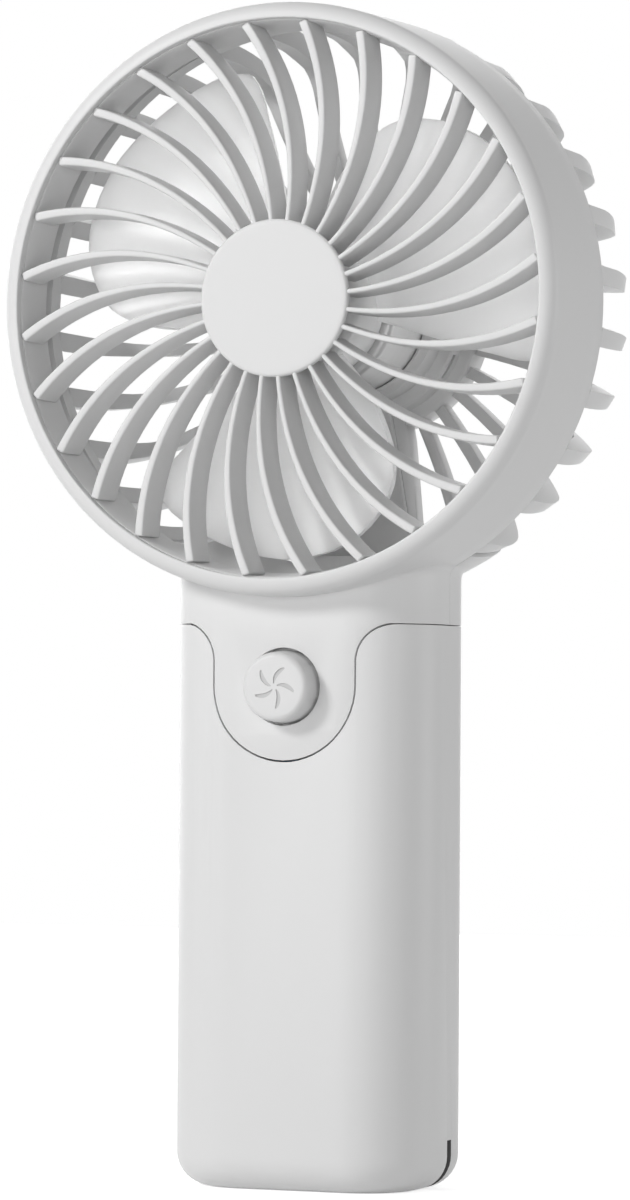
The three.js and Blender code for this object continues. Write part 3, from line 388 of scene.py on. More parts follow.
# each has its effect's two colours, two scales and two roughnesses, then its bump and the shader's own values
finishes = {
    "shell": makeFinish("whiteShell", mouldedSkin, (grey(0.75), grey(0.73), 2600, 28, 0.42, 0.5),
                        (0.05, 0.02), {"Specular IOR Level": 0.42}),
    # the blades' white is lighter than the shell's white: painted light standing in for the light that the
    # grille keeps off them
    "blade": makeFinish("litWhiteBlade", mouldedSkin, (grey(0.9), grey(0.89), 1800, 36, 0.3, 0.4), (0.04, 0.02),
                        {"Specular IOR Level": 0.8, "Subsurface Weight": 0.7, "Subsurface Scale": 0.01,
                         "Subsurface Radius": (1, 1, 1)}),
    "button": makeFinish("whiteButton", mouldedSkin, (grey(0.735), grey(0.715), 2200, 60, 0.35, 0.45),
                         (0.04, 0.02), {"Specular IOR Level": 0.45}),
    # the sign's sunk floor takes a darker grey: painted shade in the pressed grooves
    "sign": makeFinish("greySignShade", mouldedSkin, (grey(0.6), grey(0.57), 1600, 80, 0.45, 0.6), (0.08, 0.02),
                       {"Specular IOR Level": 0.3}),
    # dark grey of the chassis, also used as painted shade inside the grip's cord slot
    "inner": makeFinish("greyInnerAndSlotShade", mouldedSkin, (grey(0.12), grey(0.09), 1500, 50, 0.5, 0.65), (0.1, 0.03)),
    "black": makeFinish("blackMoulded", mouldedSkin, (grey(0.014), grey(0.01), 2500, 90, 0.4, 0.55),
                        (0.1, 0.02)),
    "board": makeFinish("greenBoard", mouldedSkin, (
        (0.03, 0.15, 0.06, 1), (0.02, 0.11, 0.05, 1), 900, 200, 0.28, 0.4), (0.08, 0.02),
        {"Coat Weight": 0.3}),
    "ferrite": makeFinish("darkFerrite", mouldedSkin, (grey(0.02), grey(0.012), 4000, 300, 0.6, 0.8),
                          (0.3, 0.03)),
    "wireRed": makeFinish("redInsulation", mouldedSkin, (
        (0.45, 0.02, 0.015, 1), (0.36, 0.015, 0.012, 1), 1500, 200, 0.35, 0.5), (0.05, 0.02)),
    "cell": makeFinish("cellSleeve", mouldedSkin, (
        (0.05, 0.16, 0.35, 1), (0.04, 0.13, 0.3, 1), 700, 60, 0.2, 0.3), (0.05, 0.03), {"Coat Weight": 0.2}),
    "plated": makeFinish("platedSteel", drawnMetal, (grey(0.62), grey(0.5), 1600, 160, 0.22, 0.38),
                         (0.05, 0.01), {"Metallic": 1}),
    "screw": makeFinish("screwSteel", drawnMetal, (grey(0.4), grey(0.28), 2400, 400, 0.35, 0.55),
                        (0.08, 0.01), {"Metallic": 0.9}),
    "can": makeFinish("motorCanSteel", drawnMetal, (grey(0.66), grey(0.55), 700, 90, 0.4, 0.58), (0.04, 0.01),
                      {"Metallic": 0.85}),
    "lamination": makeFinish("stackedSteel", drawnMetal, (grey(0.25), grey(0.15), 4000, 200, 0.35, 0.6),
                             (0.3, 0.02), {"Metallic": 1}),
    "brass": makeFinish("plainBrass", drawnMetal, (
        (0.72, 0.5, 0.18, 1), (0.55, 0.36, 0.12, 1), 1800, 300, 0.2, 0.4), (0.05, 0.01), {"Metallic": 1}),
    "copper": makeFinish("woundCopper", drawnMetal, (
        (0.7, 0.28, 0.12, 1), (0.45, 0.15, 0.06, 1), 3500, 250, 0.25, 0.45), (0.4, 0.03), {"Metallic": 1}),
}


def settle(piece, node, body="fan", finish="shell"):
    # a finished piece gets its shading and its finish and goes to its body, and the CAD node that it stands
    # for is hidden
    activate(piece)
    bpy.ops.object.shade_smooth_by_angle(angle=math.radians(fan["shadeAngle"]))
    piece.data.materials.clear()
    piece.data.materials.append(finishes[finish])
    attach(piece, body)
    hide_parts(node)
    return piece


def markFaces(piece, finish, belongs):
    # a second finish on the faces that pass a test
    piece.data.materials.append(finishes[finish])
    for face in piece.data.polygons:
        if belongs(face):
            face.material_index = 1


finishes["blade"].node_tree.nodes["Principled BSDF"].subsurface_method = "BURLEY"
print("finishes ready")

# front shell: ring, neck and button tongue; side lists how far the ring falls back from the rim, and its y
ring = {"bore": 41, "bay": 41.6, "lipBack": -18.98, "crest": 41.25, "innerRound": 0.25, "lipFront": -20.4,
        "lipRound": 2.3, "lapWall": 1.15, "lapFront": -11, "edgeRound": 0.25,
        "side": [(0.75, -18.1), (0.45, -11), (0.12, -4), (0, -0.3), (0, 0)]}
tongue = {"radius": 11.3, "rise": 0.2, "flare": 5.5, "wall": 2.2, "buttonHeight": 74.2, "hole": 5.75,
          "steps": 28, "gap": 0.27, "plateBottom": 55, "plateRoot": 4, "front": -20, "depth": 11,
          "flangeRadius": 7.5, "flangeFront": -12.8}
neck = {"top": 97, "wall": 1.4, "spigotDepth": 3.6, "spigotRoot": 4, "hollowDepth": 8, "frontSeat": 43.2,
        "rearSeat": 43, "seam": 0.04, "edgeRound": 0.2, "frontFillet": 0.3, "sideFillet": 1.1,
        "backFillet": 1.2, "filletSkin": 0.3, "filletSink": 0.02, "roundAngle": 38}


def frontRing():
    rim, front, edge, seam = fan["rimRadius"], ring["lipFront"], ring["edgeRound"], fan["seam"]
    lap, bay, lipBack = rim - ring["lapWall"], ring["bay"], ring["lipBack"]
    profile = [(bay, ring["lapFront"]), (bay, lipBack), (ring["bore"], lipBack)]
    profile += arcPoints(ring["crest"], front + ring["innerRound"], ring["innerRound"], 180, 270, 4)
    profile += arcPoints(ring["crest"], front + ring["lipRound"], ring["lipRound"], -86, 0, 12)
    profile += [(rim - fall, y) for fall, y in ring["side"][1:3]]  # its lip and its seam are rounded
    profile += [(rim, -seam - edge), (rim - edge / 3, -seam - edge / 3), (rim - edge, -seam), (lap, -seam),
                (lap, ring["lapFront"])]
    return turnProfile("frontRing", profile)


def neckHalf(name, front, back, seatRadius):
    top, reach = fan["gripTop"], fan["reach"]
    block = gripBlock(name, 0, top + fan["seam"], neck["top"])
    inset = fan["wall"] + fan["seam"]
    carve(block, gripBlock("spigot", inset, top - neck["spigotDepth"], top + neck["spigotRoot"]), "UNION")
    hollowTop = neck["top"] + fan["overcut"]
    carve(block, gripBlock("hollow", inset + neck["wall"], top - neck["hollowDepth"], hollowTop))
    drill(block, 0, fan["headHeight"], seatRadius, -reach, reach, fan["turnSteps"])
    carve(block, addBlock("keep", (-reach, front, top - reach), (reach, back, top + reach)), "INTERSECT")
    return block


def tongueBlock(name, inset):
    # the tongue's outline, pushed through the front of the grip
    radius = tongue["radius"] - inset
    flare = tongue["flare"] + inset
    end = fan["gripTop"] + inset + fan["overcut"]
    bend = fan["gripTop"] - tongue["flare"]
    steps = tongue["steps"]
    points = [(-radius - flare, end)]
    points += arcPoints(-radius - flare, bend, flare, 90, 0, steps // 2)
    points += arcPoints(0, tongue["buttonHeight"] + tongue["rise"], radius, 180, 360, steps)
    points += arcPoints(radius + flare, bend, flare, 180, 90, steps // 2)
    points += [(radius + flare, end)]
    outline = [(x * mm, tongue["front"] * mm, z * mm) for x, z in points]
    return pushOutline(name, outline, (0, tongue["depth"] * mm, 0))


def tonguePlate():
    bottom, top, past = tongue["plateBottom"], fan["gripTop"] + tongue["plateRoot"], fan["overcut"]
    plate = gripBlock("tonguePlate", 0, bottom, top)
    carve(plate, gripBlock("tongueHollow", tongue["wall"], bottom - past, top + past))
    carve(plate, tongueBlock("tongueCut", tongue["gap"]), "INTERSECT")
    return plate


def neckRoute(side):
    # half the neck's outline with the way that it faces: side is -1 for the front half and 1 for the back
    x, y, radius = fan["gripWidth"] / 2, fan["gripDepth"] / 2, fan["gripCorner"]
    route = [(-x, side * (neck["seam"] + step), 180) for step in (0, 1, 2)]
    arcs = [(radius - x, 180, 90), (x - radius, 90, 0)]
    for centre, start, end in arcs:
        for across, along in arcPoints(centre, y - radius, radius, start, end, 16):
            facing = math.degrees(math.atan2(along - y + radius, across - centre))
            route.append((across, side * along, facing))
    return route + [(x, side * (neck["seam"] + step), 0) for step in (2, 1, 0)]


def neckFillet(name, side, radiusAt, endFillet):
    # soft inner corner where the neck runs into the head, small at its middle and large at the sides
    route = neckRoute(side)
    skin = neck["filletSkin"] / 2 - neck["filletSink"]

    def place(u, w):
        x, y, facing = alongTable(route, u)
        across, along = math.cos(math.radians(facing)), side * math.sin(math.radians(facing))
        size = endFillet + (neck["sideFillet"] - endFillet) * across ** 2

        def underside(reach):
            px, py = x + across * reach, y + along * reach
            return fan["headHeight"] - math.sqrt(radiusAt(py) ** 2 - px ** 2)
        corner = underside(0)
        a, b, c = (1 - w) ** 2, 2 * w * (1 - w), w ** 2  # neck, corner and head
        reach = -skin * (a + b) + size * c
        height = (corner - size) * a + (corner + skin) * b + (underside(size) + skin) * c
        return ((x + across * reach) * mm, (y + along * reach) * mm, height * mm)
    fillet = addSheet(name, len(route) - 1, 8, place)
    thicken(fillet, neck["filletSkin"])
    tidyMesh(fillet)
    return fillet


def radiusAlong(table):
    # the radius at any y, from a table of (radius, y) that runs backwards
    def radiusAt(y):
        for (first, low), (last, high) in zip(table, table[1:]):
            if y <= high:
                return first + (last - first) * (y - low) / (high - low)
        return table[-1][0]
    return radiusAt


frontShell = frontRing()
neckFront = neckHalf("neckFront", -fan["reach"], -neck["seam"], neck["frontSeat"])
carve(neckFront, tonguePlate(), "UNION")
drill(neckFront, 0, tongue["buttonHeight"], tongue["hole"], -fan["reach"], 0, 96)
drill(neckFront, 0, tongue["buttonHeight"], tongue["flangeRadius"], tongue["flangeFront"], 0, 64)
tidyMesh(neckFront)
roundEdges(neckFront, neck["edgeRound"], 3, neck["roundAngle"])
carve(frontShell, neckFront, "UNION")
tidyMesh(frontShell)
ringSide = radiusAlong([(fan["rimRadius"] - fall, y) for fall, y in ring["side"]])
frontFillet = neckFillet("frontFillet", -1, ringSide, neck["frontFillet"])
frontShell = joinPieces("frontShell", [frontShell, frontFillet])
settle(frontShell, "front_shell")
print("front shell done")

# grip sleeve with its rounded foot, openings and cord slot
# slotShadeFrom is how far in from the grip's side the painted shade inside the cord slot begins
sleeve = {"footRound": 5, "footSteps": 10, "floor": 2, "edgeRound": 0.28, "portHeight": 75, "portWidth": 9.4,
          "portThickness": 3.7, "portCorner": 1.7, "portFront": 11.4, "portDepth": 8, "cordWidth": 1.7,
          "cordTop": 7.3, "cordDepth": 4.6, "cordOffset": 1, "cordInset": 0.4, "cordWall": 2, "cordSkin": 0.9,
          "cordBottom": 1, "slotShadeFrom": 0.35, "near": 0.02}


def footedBlock(name, inset):
    # the grip's block with its lower edge rounded
    piece = gripBlock(name, inset, inset, fan["gripTop"])
    editPiece(piece, "EDGE")
    selectEdges(piece, lambda point: point.z < (inset + sleeve["near"]) * mm)
    bpy.ops.mesh.bevel(offset=(sleeve["footRound"] - inset) * mm, segments=sleeve["footSteps"], profile=0.5,
                       affect="EDGES", clamp_overlap=False)
    leaveEdit()
    return piece


def gripSleeve():
    piece = footedBlock("gripSleeve", 0)
    carve(piece, gripBlock("sleeveHollow", fan["wall"], sleeve["floor"], fan["gripTop"] + fan["overcut"]))
    outerX = fan["gripWidth"] / 2
    slotX = outerX - sleeve["cordDepth"]
    low = sleeve["cordOffset"] - sleeve["cordWidth"] / 2
    high = sleeve["cordOffset"] + sleeve["cordWidth"] / 2
    wall, top = sleeve["cordWall"], sleeve["cordTop"]
    cordBlock = addBlock("cordBlock", (slotX - wall, low - wall, sleeve["cordBottom"]),
                         (outerX - sleeve["cordSkin"], high + wall, top + wall))
    carve(cordBlock, footedBlock("cordRoom", sleeve["cordInset"]), "INTERSECT")
    carve(piece, cordBlock, "UNION")
    carve(piece, addBlock("cordSlot", (slotX, low, -fan["overcut"]), (outerX + fan["overcut"], high, top)))
    carve(piece, tongueBlock("tongueOpening", 0))
    corner = sleeve["portCorner"]
    x, z = sleeve["portWidth"] / 2 - corner, sleeve["portThickness"] / 2 - corner
    port = []
    for across, up, start in ((x, -z, -90), (x, z, 0), (-x, z, 90), (-x, -z, 180)):
        port += arcPoints(across, up, corner, start, start + 90, 10)
    outline = [(px * mm, sleeve["portFront"] * mm, (pz + sleeve["portHeight"]) * mm) for px, pz in port]
    carve(piece, pushOutline("portOpening", outline, (0, sleeve["portDepth"] * mm, 0)))
    tidyMesh(piece)
    roundEdges(piece, sleeve["edgeRound"], 3, 38)
    return piece


# the faces inside the cord slot, which take the dark inner grey as painted shade
def slotShadeFaces(face):
    middle = face.center / mm
    near = sleeve["near"]
    outer = fan["gripWidth"] / 2 - sleeve["slotShadeFrom"]
    inside = abs(middle.y - sleeve["cordOffset"]) < sleeve["cordWidth"] / 2 + near
    return inside and outer - sleeve["cordDepth"] < middle.x < outer and middle.z < sleeve["cordTop"] + near


sleevePiece = settle(gripSleeve(), "handle_sleeve")
# painted shade: the cord slot's inside gets the dark inner grey
markFaces(sleevePiece, "inner", slotShadeFaces)
print("grip sleeve done")

# rear shell: fins between a front band and the motor boss, wire duct, neck; profiles list radius and y
dome = {"finCount": 30, "finPhase": 5, "finSweep": 4.5, "finBase": 2.8, "finBack": 1.7, "finTip": 1.7,
        "finLength": 20, "finStations": 30, "finRound": 0.45, "taperFrom": 40, "taperLength": 24,
        "slotInner": 17.9, "ductClear": 14, "neckClear": 33, "wallTrim": 0.6, "wallRadius": 39,
        "wallEnds": [(39, 20.6), (39, 15.7)], "webRadius": 16, "webHalf": 9.6, "edgeRound": 0.12,
        "clear": 0.01, "shortFrom": 0.5,
        "outer": [(42.95, -4.3), (42.95, -0.2), (44.3, 0), (44.28, 3), (44.1, 6.5), (43.75, 10), (43.3, 13),
                  (42.6, 16), (41.9, 18), (40.6, 19.8), (38.6, 20.8), (36, 21.4), (30, 22.8), (24, 24.1),
                  (17, 25.6)],
        "inner": [(41.4, -4.3), (41.4, -1), (41.4, 0), (41.35, 3), (41.2, 6), (41, 8.2), (40.4, 11),
                  (39.9, 13.2), (39.3, 15.3), (38, 16.9), (37, 17.6), (36, 18.1), (30, 19.4), (24, 20.8),
                  (17, 22.3)]}
band = {"inner": 41.4, "outer": 42.95, "front": -9.8, "back": -4, "grooveRadius": 42.4, "grooveFront": -9.1,
        "grooveBack": -7.2, "grooveSlant": 0.2}
cup = {"steps": 120, "edgeRound": 0.2, "slotMiddle": -30, "slotHalf": 7.5,
       "slot": [(14, 18.3), (16, 18.3), (16, 19.3), (14, 19.3)],
       "profile": [(2.6, 20), (12.3, 20), (12.3, 13), (12.1, 12.8), (12.1, 11.7), (12.2, 11.6), (12.6, 11.6),
                   (13.5, 12.6), (13.5, 17), (15.2, 17), (15.45, 17.25), (15.45, 20.8), (17.1, 20.8),
                   (17.4, 21.1), (17.4, 26.6), (17.3, 26.9), (17, 27), (16.2, 27), (16, 26.8), (16, 25.4),
                   (14.5, 25.4), (14.5, 22), (2.6, 22)]}
duct = {"top": 12.9, "topHalf": 5, "bottom": 42, "bottomHalf": 10, "front": 16, "depth": 9, "wall": 1.5,
        "footHalf": 5, "footTop": 37, "footFront": 3.5, "footBack": 17.8, "channelTop": 11,
        "channelBottom": 38.6, "channelFront": 13, "channelDepth": 5.5, "holeDrop": 41, "holeRadius": 2.4,
        "holeFront": 6, "holeBack": 12, "capRadius": 14.5, "capFront": 22, "capBack": 30, "edgeRound": 0.3,
        "skin": 0.1, "limitFront": [(0, -9.8), (42.9, -9.8), (42.9, 0)], "limitBack": [(0, 25.6)],
        "steps": 120}
screwHole = {"across": 11.5, "height": 86.2, "bossRadius": 2.5, "bossFront": 0.15, "bossBack": 14.2,
             "recessRadius": 2, "recessFront": 11.95, "boreRadius": 1.1, "back": 20}


def finTwist(radius):
    along = (radius - dome["slotInner"]) / (fan["rimRadius"] - dome["slotInner"])
    return dome["finSweep"] * (1 - max(0, along) ** 2)


def finWidth(radius, y):
    # broad where a fin leaves the ring, then narrower towards its back and towards the boss
    along = min(1, max(0, y / dome["finLength"]))
    width = dome["finBase"] - (dome["finBase"] - dome["finBack"]) * along ** 2
    inwards = min(1, max(0, (dome["taperFrom"] - radius) / dome["taperLength"]))
    return width + (dome["finTip"] - width) * inwards


def rearFin(name, firstStation):
    # a ladder between the dome's outer and inner outlines, thickened and rounded
    base = dome["finBase"]

    def place(u, w):
        share = firstStation + (1 - firstStation) * u
        outer = alongTable(dome["outer"], share)
        inner = alongTable(dome["inner"], share)
        radius = inner[0] + (outer[0] - inner[0]) * w
        y = inner[1] + (outer[1] - inner[1]) * w
        angle = math.radians(finTwist(radius)) - (base - finWidth(radius, y)) / 2 / radius
        return headPoint(radius, angle, y)
    fin = addSheet(name, dome["finStations"], 3, place)
    weights = fin.vertex_groups.new(name="full")
    for vertex in fin.data.vertices:
        width = finWidth(headRadius(vertex.co), vertex.co.y / mm)
        weights.add([vertex.index], width / base, "REPLACE")
    thicken(fin, base, "full")
    tidyMesh(fin)
    roundEdges(fin, dome["finRound"], 3, 50)
    holdWithin(fin, fan["rimRadius"] - dome["clear"])
    return fin


def finAngles():
    # whole fins all round, short ones over the neck and none behind the duct
    full, short = [], []
    pitch = 360 / dome["finCount"]
    for index in range(dome["finCount"]):
        angle = dome["finPhase"] + index * pitch
        distance = abs(angle - 270)
        if distance >= dome["neckClear"] - pitch / 2:
            full.append(angle)
        elif distance >= dome["ductClear"] - pitch / 2:
            short.append(angle)
    return full, short


def domeSector(name, halfDegrees, fromRadius, steps, ends=()):
    # part of the dome's wall straight below the head axis, from a radius outwards
    outer = [point for point in dome["outer"] if point[0] >= fromRadius]
    inner = [point for point in dome["inner"] if point[0] >= fromRadius]
    return turnSector(name, outer + list(ends) + inner[::-1], 270, halfDegrees, steps)


def rearBand():
    inner, groove, slant = band["inner"], band["grooveRadius"], band["grooveSlant"]
    profile = [(inner, band["front"]), (band["outer"], band["front"]), (band["outer"], band["back"]),
               (inner, band["back"]), (inner, band["grooveBack"]), (groove, band["grooveBack"] - slant),
               (groove, band["grooveFront"] + slant), (inner, band["grooveFront"])]
    return turnProfile("rearBand", profile)


def motorCup():
    piece = turnProfile("motorCup", cup["profile"], cup["steps"])
    roundEdges(piece, cup["edgeRound"], 2, 45)
    carve(piece, turnSector("cupSlot", cup["slot"], cup["slotMiddle"], cup["slotHalf"], 12))
    return piece


def ductPoints(fromRadius, toRadius, inset, y):
    def halfAt(radius):
        along = (radius - duct["top"]) / (duct["bottom"] - duct["top"])
        return duct["topHalf"] + (duct["bottomHalf"] - duct["topHalf"]) * along - inset
    corners = [(-halfAt(fromRadius), fromRadius), (-halfAt(toRadius), toRadius), (halfAt(toRadius), toRadius),
               (halfAt(fromRadius), fromRadius)]
    return [(x * mm, y * mm, headHeight - radius * mm) for x, radius in corners]


def wireDuct():
    axis = fan["headHeight"]
    outline = ductPoints(duct["top"], duct["bottom"], 0, duct["front"])
    block = pushOutline("wireDuct", outline, (0, duct["depth"] * mm, 0))
    foot = addBlock("ductFoot", (-duct["footHalf"], duct["footFront"], axis - duct["bottom"]),
                    (duct["footHalf"], duct["footBack"], axis - duct["footTop"]))
    carve(block, foot, "UNION")
    limits = [(radius - duct["skin"], y) for radius, y in dome["outer"][2:]]
    limits = duct["limitFront"] + limits + duct["limitBack"]
    carve(block, turnProfile("envelope", limits, duct["steps"], onAxis=True), "INTERSECT")
    channel = ductPoints(duct["channelTop"], duct["channelBottom"], duct["wall"], duct["channelFront"])
    carve(block, pushOutline("channel", channel, (0, duct["channelDepth"] * mm, 0)))
    drill(block, 0, axis, duct["capRadius"], duct["capFront"], duct["capBack"], 96)
    drill(block, 0, axis - duct["holeDrop"], duct["holeRadius"], duct["holeFront"], duct["holeBack"], 32)
    tidyMesh(block)
    roundEdges(block, duct["edgeRound"], 2, 40)
    return block


def rearNeck():
    block = neckHalf("rearNeck", neck["seam"], fan["reach"], neck["rearSeat"])
    height, back = screwHole["height"], screwHole["back"]
    for x in (-screwHole["across"], screwHole["across"]):
        carve(block, addDisc("boss", x, height, screwHole["bossRadius"], screwHole["bossFront"],
                             screwHole["bossBack"], 40), "UNION")
        drill(block, x, height, screwHole["recessRadius"], screwHole["recessFront"], back, 40)
        drill(block, x, height, screwHole["boreRadius"], -fan["overcut"], back, 24)
    tidyMesh(block)
    return block


def rearShell():
    parts = [rearBand(), motorCup(), wireDuct()]
    full, short = finAngles()
    parts += turnedCopies(rearFin("longFin", 0), full)
    parts += turnedCopies(rearFin("shortFin", dome["shortFrom"]), short)
    wallHalf = dome["neckClear"] - dome["wallTrim"]
    wall = domeSector("neckWall", wallHalf, dome["wallRadius"], 40, dome["wallEnds"])
    web = domeSector("ductWeb", dome["webHalf"], dome["webRadius"], 16)
    fillet = neckFillet("backFillet", 1, radiusAlong(dome["outer"][2:]), neck["backFillet"])
    neckPiece = rearNeck()
    for part in (wall, web, neckPiece):
        roundEdges(part, dome["edgeRound"], 2, 45)
    return joinPieces("rearShell", parts + [wall, web, fillet, neckPiece])


settle(rearShell(), "rear_shell")
print("rear shell done")

# duct cover and rear cap
cover = {"from": 13.7, "to": 36.8, "front": 14.55, "thickness": 1.3, "edgeRound": 0.35}
coverPiece = pushOutline("ductCover", ductPoints(cover["from"], cover["to"], 0, cover["front"]),
                         (0, cover["thickness"] * mm, 0))
roundEdges(coverPiece, cover["edgeRound"], 3)
settle(coverPiece, "wire_duct_cover")

cap = {"radius": 15.8, "seat": 25.55, "sideBack": 26.35, "edgeRound": 0.6, "roundCentre": 26.38, "steps": 128,
       "snapRadius": 14.3, "snapInner": 13, "snapFront": 23.95,
       "face": [(12.2, 26.98), (11.9, 26.7), (11.5, 26.6), (11.1, 26.7), (10.8, 26.95), (0, 27)]}
capProfile = [(0, cap["seat"]), (cap["snapInner"], cap["seat"]), (cap["snapInner"], cap["snapFront"]),
              (cap["snapRadius"], cap["snapFront"]), (cap["snapRadius"], cap["seat"]),
              (cap["radius"], cap["seat"]), (cap["radius"], cap["sideBack"])]
capProfile += arcPoints(cap["radius"] - cap["edgeRound"], cap["roundCentre"], cap["edgeRound"], 0, 90, 6)
capPiece = turnProfile("rearCap", capProfile + cap["face"], cap["steps"], onAxis=True)
settle(capPiece, "rear_cap")
print("cover and cap done")

# front grille: vanes, rim and centre disc; rim and crown list radius and y
grille = {"vanes": 28, "phase": 7, "sweep": 16.8, "curve": 1.45, "tip": 1.65, "root": 0.85,
          "frontShare": 0.78, "front": -19.7, "depth": 6.2, "tipRadius": 40.7, "rootSink": 0.3,
          "stations": 20, "edgeRound": 0.28,
          "rim": [(40.9, -18.95), (41.4, -18.95), (41.4, -10.8), (42.95, -10.8), (42.95, -10), (41, -10),
                  (41, -12), (40.1, -12), (40.7, -15.4), (40.72, -18.6)]}
disc = {"radius": 11.6, "front": -20, "crown": [(0, 0), (7, 0.01), (10.6, 0.05)], "edgeRound": 0.55,
        "roundCentre": 0.6, "edgeBack": 0.9, "skirt": 10.7, "skirtFront": 1.1, "skirtBack": 3.4,
        "skirtInner": 9.5, "thickness": 1.6, "steps": 128}


def grilleVane():
    rootRadius = disc["skirt"] - grille["rootSink"]
    tipRadius = grille["tipRadius"]

    def place(u, w):
        radius = rootRadius + (tipRadius - rootRadius) * u
        angle = math.radians(grille["phase"] - grille["sweep"] * (1 - u ** grille["curve"]))
        return headPoint(radius, angle, grille["front"] + grille["depth"] * w)
    vane = addSheet("vane", grille["stations"], 3, place)
    weights = vane.vertex_groups.new(name="full")
    for vertex in vane.data.vertices:
        share = (headRadius(vertex.co) - rootRadius) / (tipRadius - rootRadius)
        width = (grille["root"] + (grille["tip"] - grille["root"]) * share) / grille["tip"]
        behind = (vertex.co.y / mm - grille["front"]) / grille["depth"]
        width *= grille["frontShare"] + (1 - grille["frontShare"]) * behind
        weights.add([vertex.index], width, "REPLACE")
    thicken(vane, grille["tip"], "full")
    tidyMesh(vane)
    roundEdges(vane, grille["edgeRound"], 3, 50)
    return vane


def grilleDisc():
    radius, front, skirt, inner = disc["radius"], disc["front"], disc["skirt"], disc["skirtInner"]
    edge = disc["edgeRound"]
    profile = [(across, front + y) for across, y in disc["crown"]]
    profile += arcPoints(radius - edge, front + disc["roundCentre"], edge, -80, 0, 6)
    profile += [(radius, front + disc["edgeBack"]), (skirt, front + disc["skirtFront"]),
                (skirt, front + disc["skirtBack"]), (inner, front + disc["skirtBack"]),
                (inner, front + disc["thickness"]), (0, front + disc["thickness"])]
    return turnProfile("grilleDisc", profile, disc["steps"], onAxis=True)


def frontGrille():
    parts = [turnProfile("grilleRim", grille["rim"]), grilleDisc()]
    parts += turnedCopies(grilleVane(), evenTurns(grille["vanes"]))
    return joinPieces("frontGrille", parts)


settle(frontGrille(), "front_grille")
print("grille done")

# impeller: hub and three blades; the shares place a blade's two edges at stations from its root to its tip
impeller = {"blades": 3, "root": 9.5, "tip": 38, "thickness": 1.2, "edgeRound": 0.45, "leading": -15,
            "trailing": 72, "front": -10.8, "back": -3, "tipBias": 1.6, "acrossSteps": 28, "alongSteps": 24,
            "stations": [0, 0.27, 0.51, 0.72, 0.83, 0.92, 0.97, 1],
            "leadingShares": [0.04, 0.01, 0, 0, 0, 0.01, 0.03, 0.1],
            "trailingShares": [1, 0.99, 0.94, 0.87, 0.79, 0.69, 0.59, 0.46]}
hub = {"radius": 10.5, "front": -12.8, "back": -2, "wall": 1.5, "edgeRound": 1.8, "flat": 8.2, "crown": 0.05,
       "face": 1.6, "stem": 3, "stemShort": 1.6, "bore": 1.15, "boreSkin": 1.5, "steps": 96}


def easedTable(xs, ys, x):
    # smooth curve through a table, with its slope taken from the neighbours
    index = 0
    while index < len(xs) - 2 and x > xs[index + 1]:
        index += 1

    def slope(i):
        low, high = max(0, i - 1), min(len(xs) - 1, i + 1)
        return (ys[high] - ys[low]) / (xs[high] - xs[low])
    span = xs[index + 1] - xs[index]
    t = (x - xs[index]) / span
    a, b = ys[index], ys[index + 1]
    return ((2 * t ** 3 - 3 * t ** 2 + 1) * a + (t ** 3 - 2 * t ** 2 + t) * span * slope(index)
            + (3 * t ** 2 - 2 * t ** 3) * b + (t ** 3 - t ** 2) * span * slope(index + 1))


def impellerBlade():
    def place(u, w):
        w = 1 - (1 - w) ** impeller["tipBias"]
        leading = easedTable(impeller["stations"], impeller["leadingShares"], w)
        trailing = easedTable(impeller["stations"], impeller["trailingShares"], w)
        along = leading + (trailing - leading) * u
        radius = impeller["root"] + (impeller["tip"] - impeller["root"]) * w
        angle = math.radians(impeller["leading"] + (impeller["trailing"] - impeller["leading"]) * along)
        return headPoint(radius, angle, impeller["back"] + (impeller["front"] - impeller["back"]) * along)
    blade = addSheet("blade", impeller["acrossSteps"], impeller["alongSteps"], place)
    thicken(blade, impeller["thickness"])
    tidyMesh(blade)
    roundEdges(blade, impeller["edgeRound"], 3, 60)
    return blade


def impellerHub():
    front, back, outer = hub["front"], hub["back"], hub["radius"]
    inner, faceBack = outer - hub["wall"], front + hub["face"]
    stem, bore = hub["stem"], hub["bore"]
    stemBack, boreFront = back - hub["stemShort"], front + hub["boreSkin"]
    profile = [(0, front), (hub["flat"], front + hub["crown"])]
    profile += arcPoints(outer - hub["edgeRound"], front + hub["edgeRound"], hub["edgeRound"], -80, 0, 8)
    profile += [(outer, back), (inner, back), (inner, faceBack), (stem, faceBack), (stem, stemBack),
                (bore, stemBack), (bore, boreFront), (0, boreFront)]
    return turnProfile("hub", profile, hub["steps"], onAxis=True)


blades = turnedCopies(impellerBlade(), evenTurns(impeller["blades"]))
impellerPiece = joinPieces("impellerDressed", [impellerHub()] + blades)
settle(impellerPiece, "impeller", "impeller", "blade")
print("impeller done")

# motor can, seen between the blades
motor = {"radius": 12, "front": -1.2, "back": 16.5, "inner": 11.2, "wall": 1, "shoulder": 1.1, "edge": 0.2,
         "nose": 3.55, "noseFront": -2.8, "noseEdge": 0.3, "bush": 2.75, "steps": 120}


def motorCan():
    radius, front, back = motor["radius"], motor["front"], motor["back"]
    inner, bush = motor["inner"], motor["bush"]
    nose, noseFront, noseEdge = motor["nose"], motor["noseFront"], motor["noseEdge"]
    shoulder, edge, faceBack = motor["shoulder"], motor["edge"], front + motor["wall"]
    profile = [(bush, noseFront), (nose - noseEdge, noseFront), (nose, noseFront + noseEdge), (nose, front)]
    profile += arcPoints(radius - shoulder, front + shoulder, shoulder, -88, 0, 8)
    profile += [(radius, back - edge), (radius - edge, back), (inner, back), (inner, faceBack),
                (bush, faceBack)]
    return turnProfile("motorCan", profile, motor["steps"])


settle(motorCan(), "motor_can", "fan", "can")
print("motor can done")

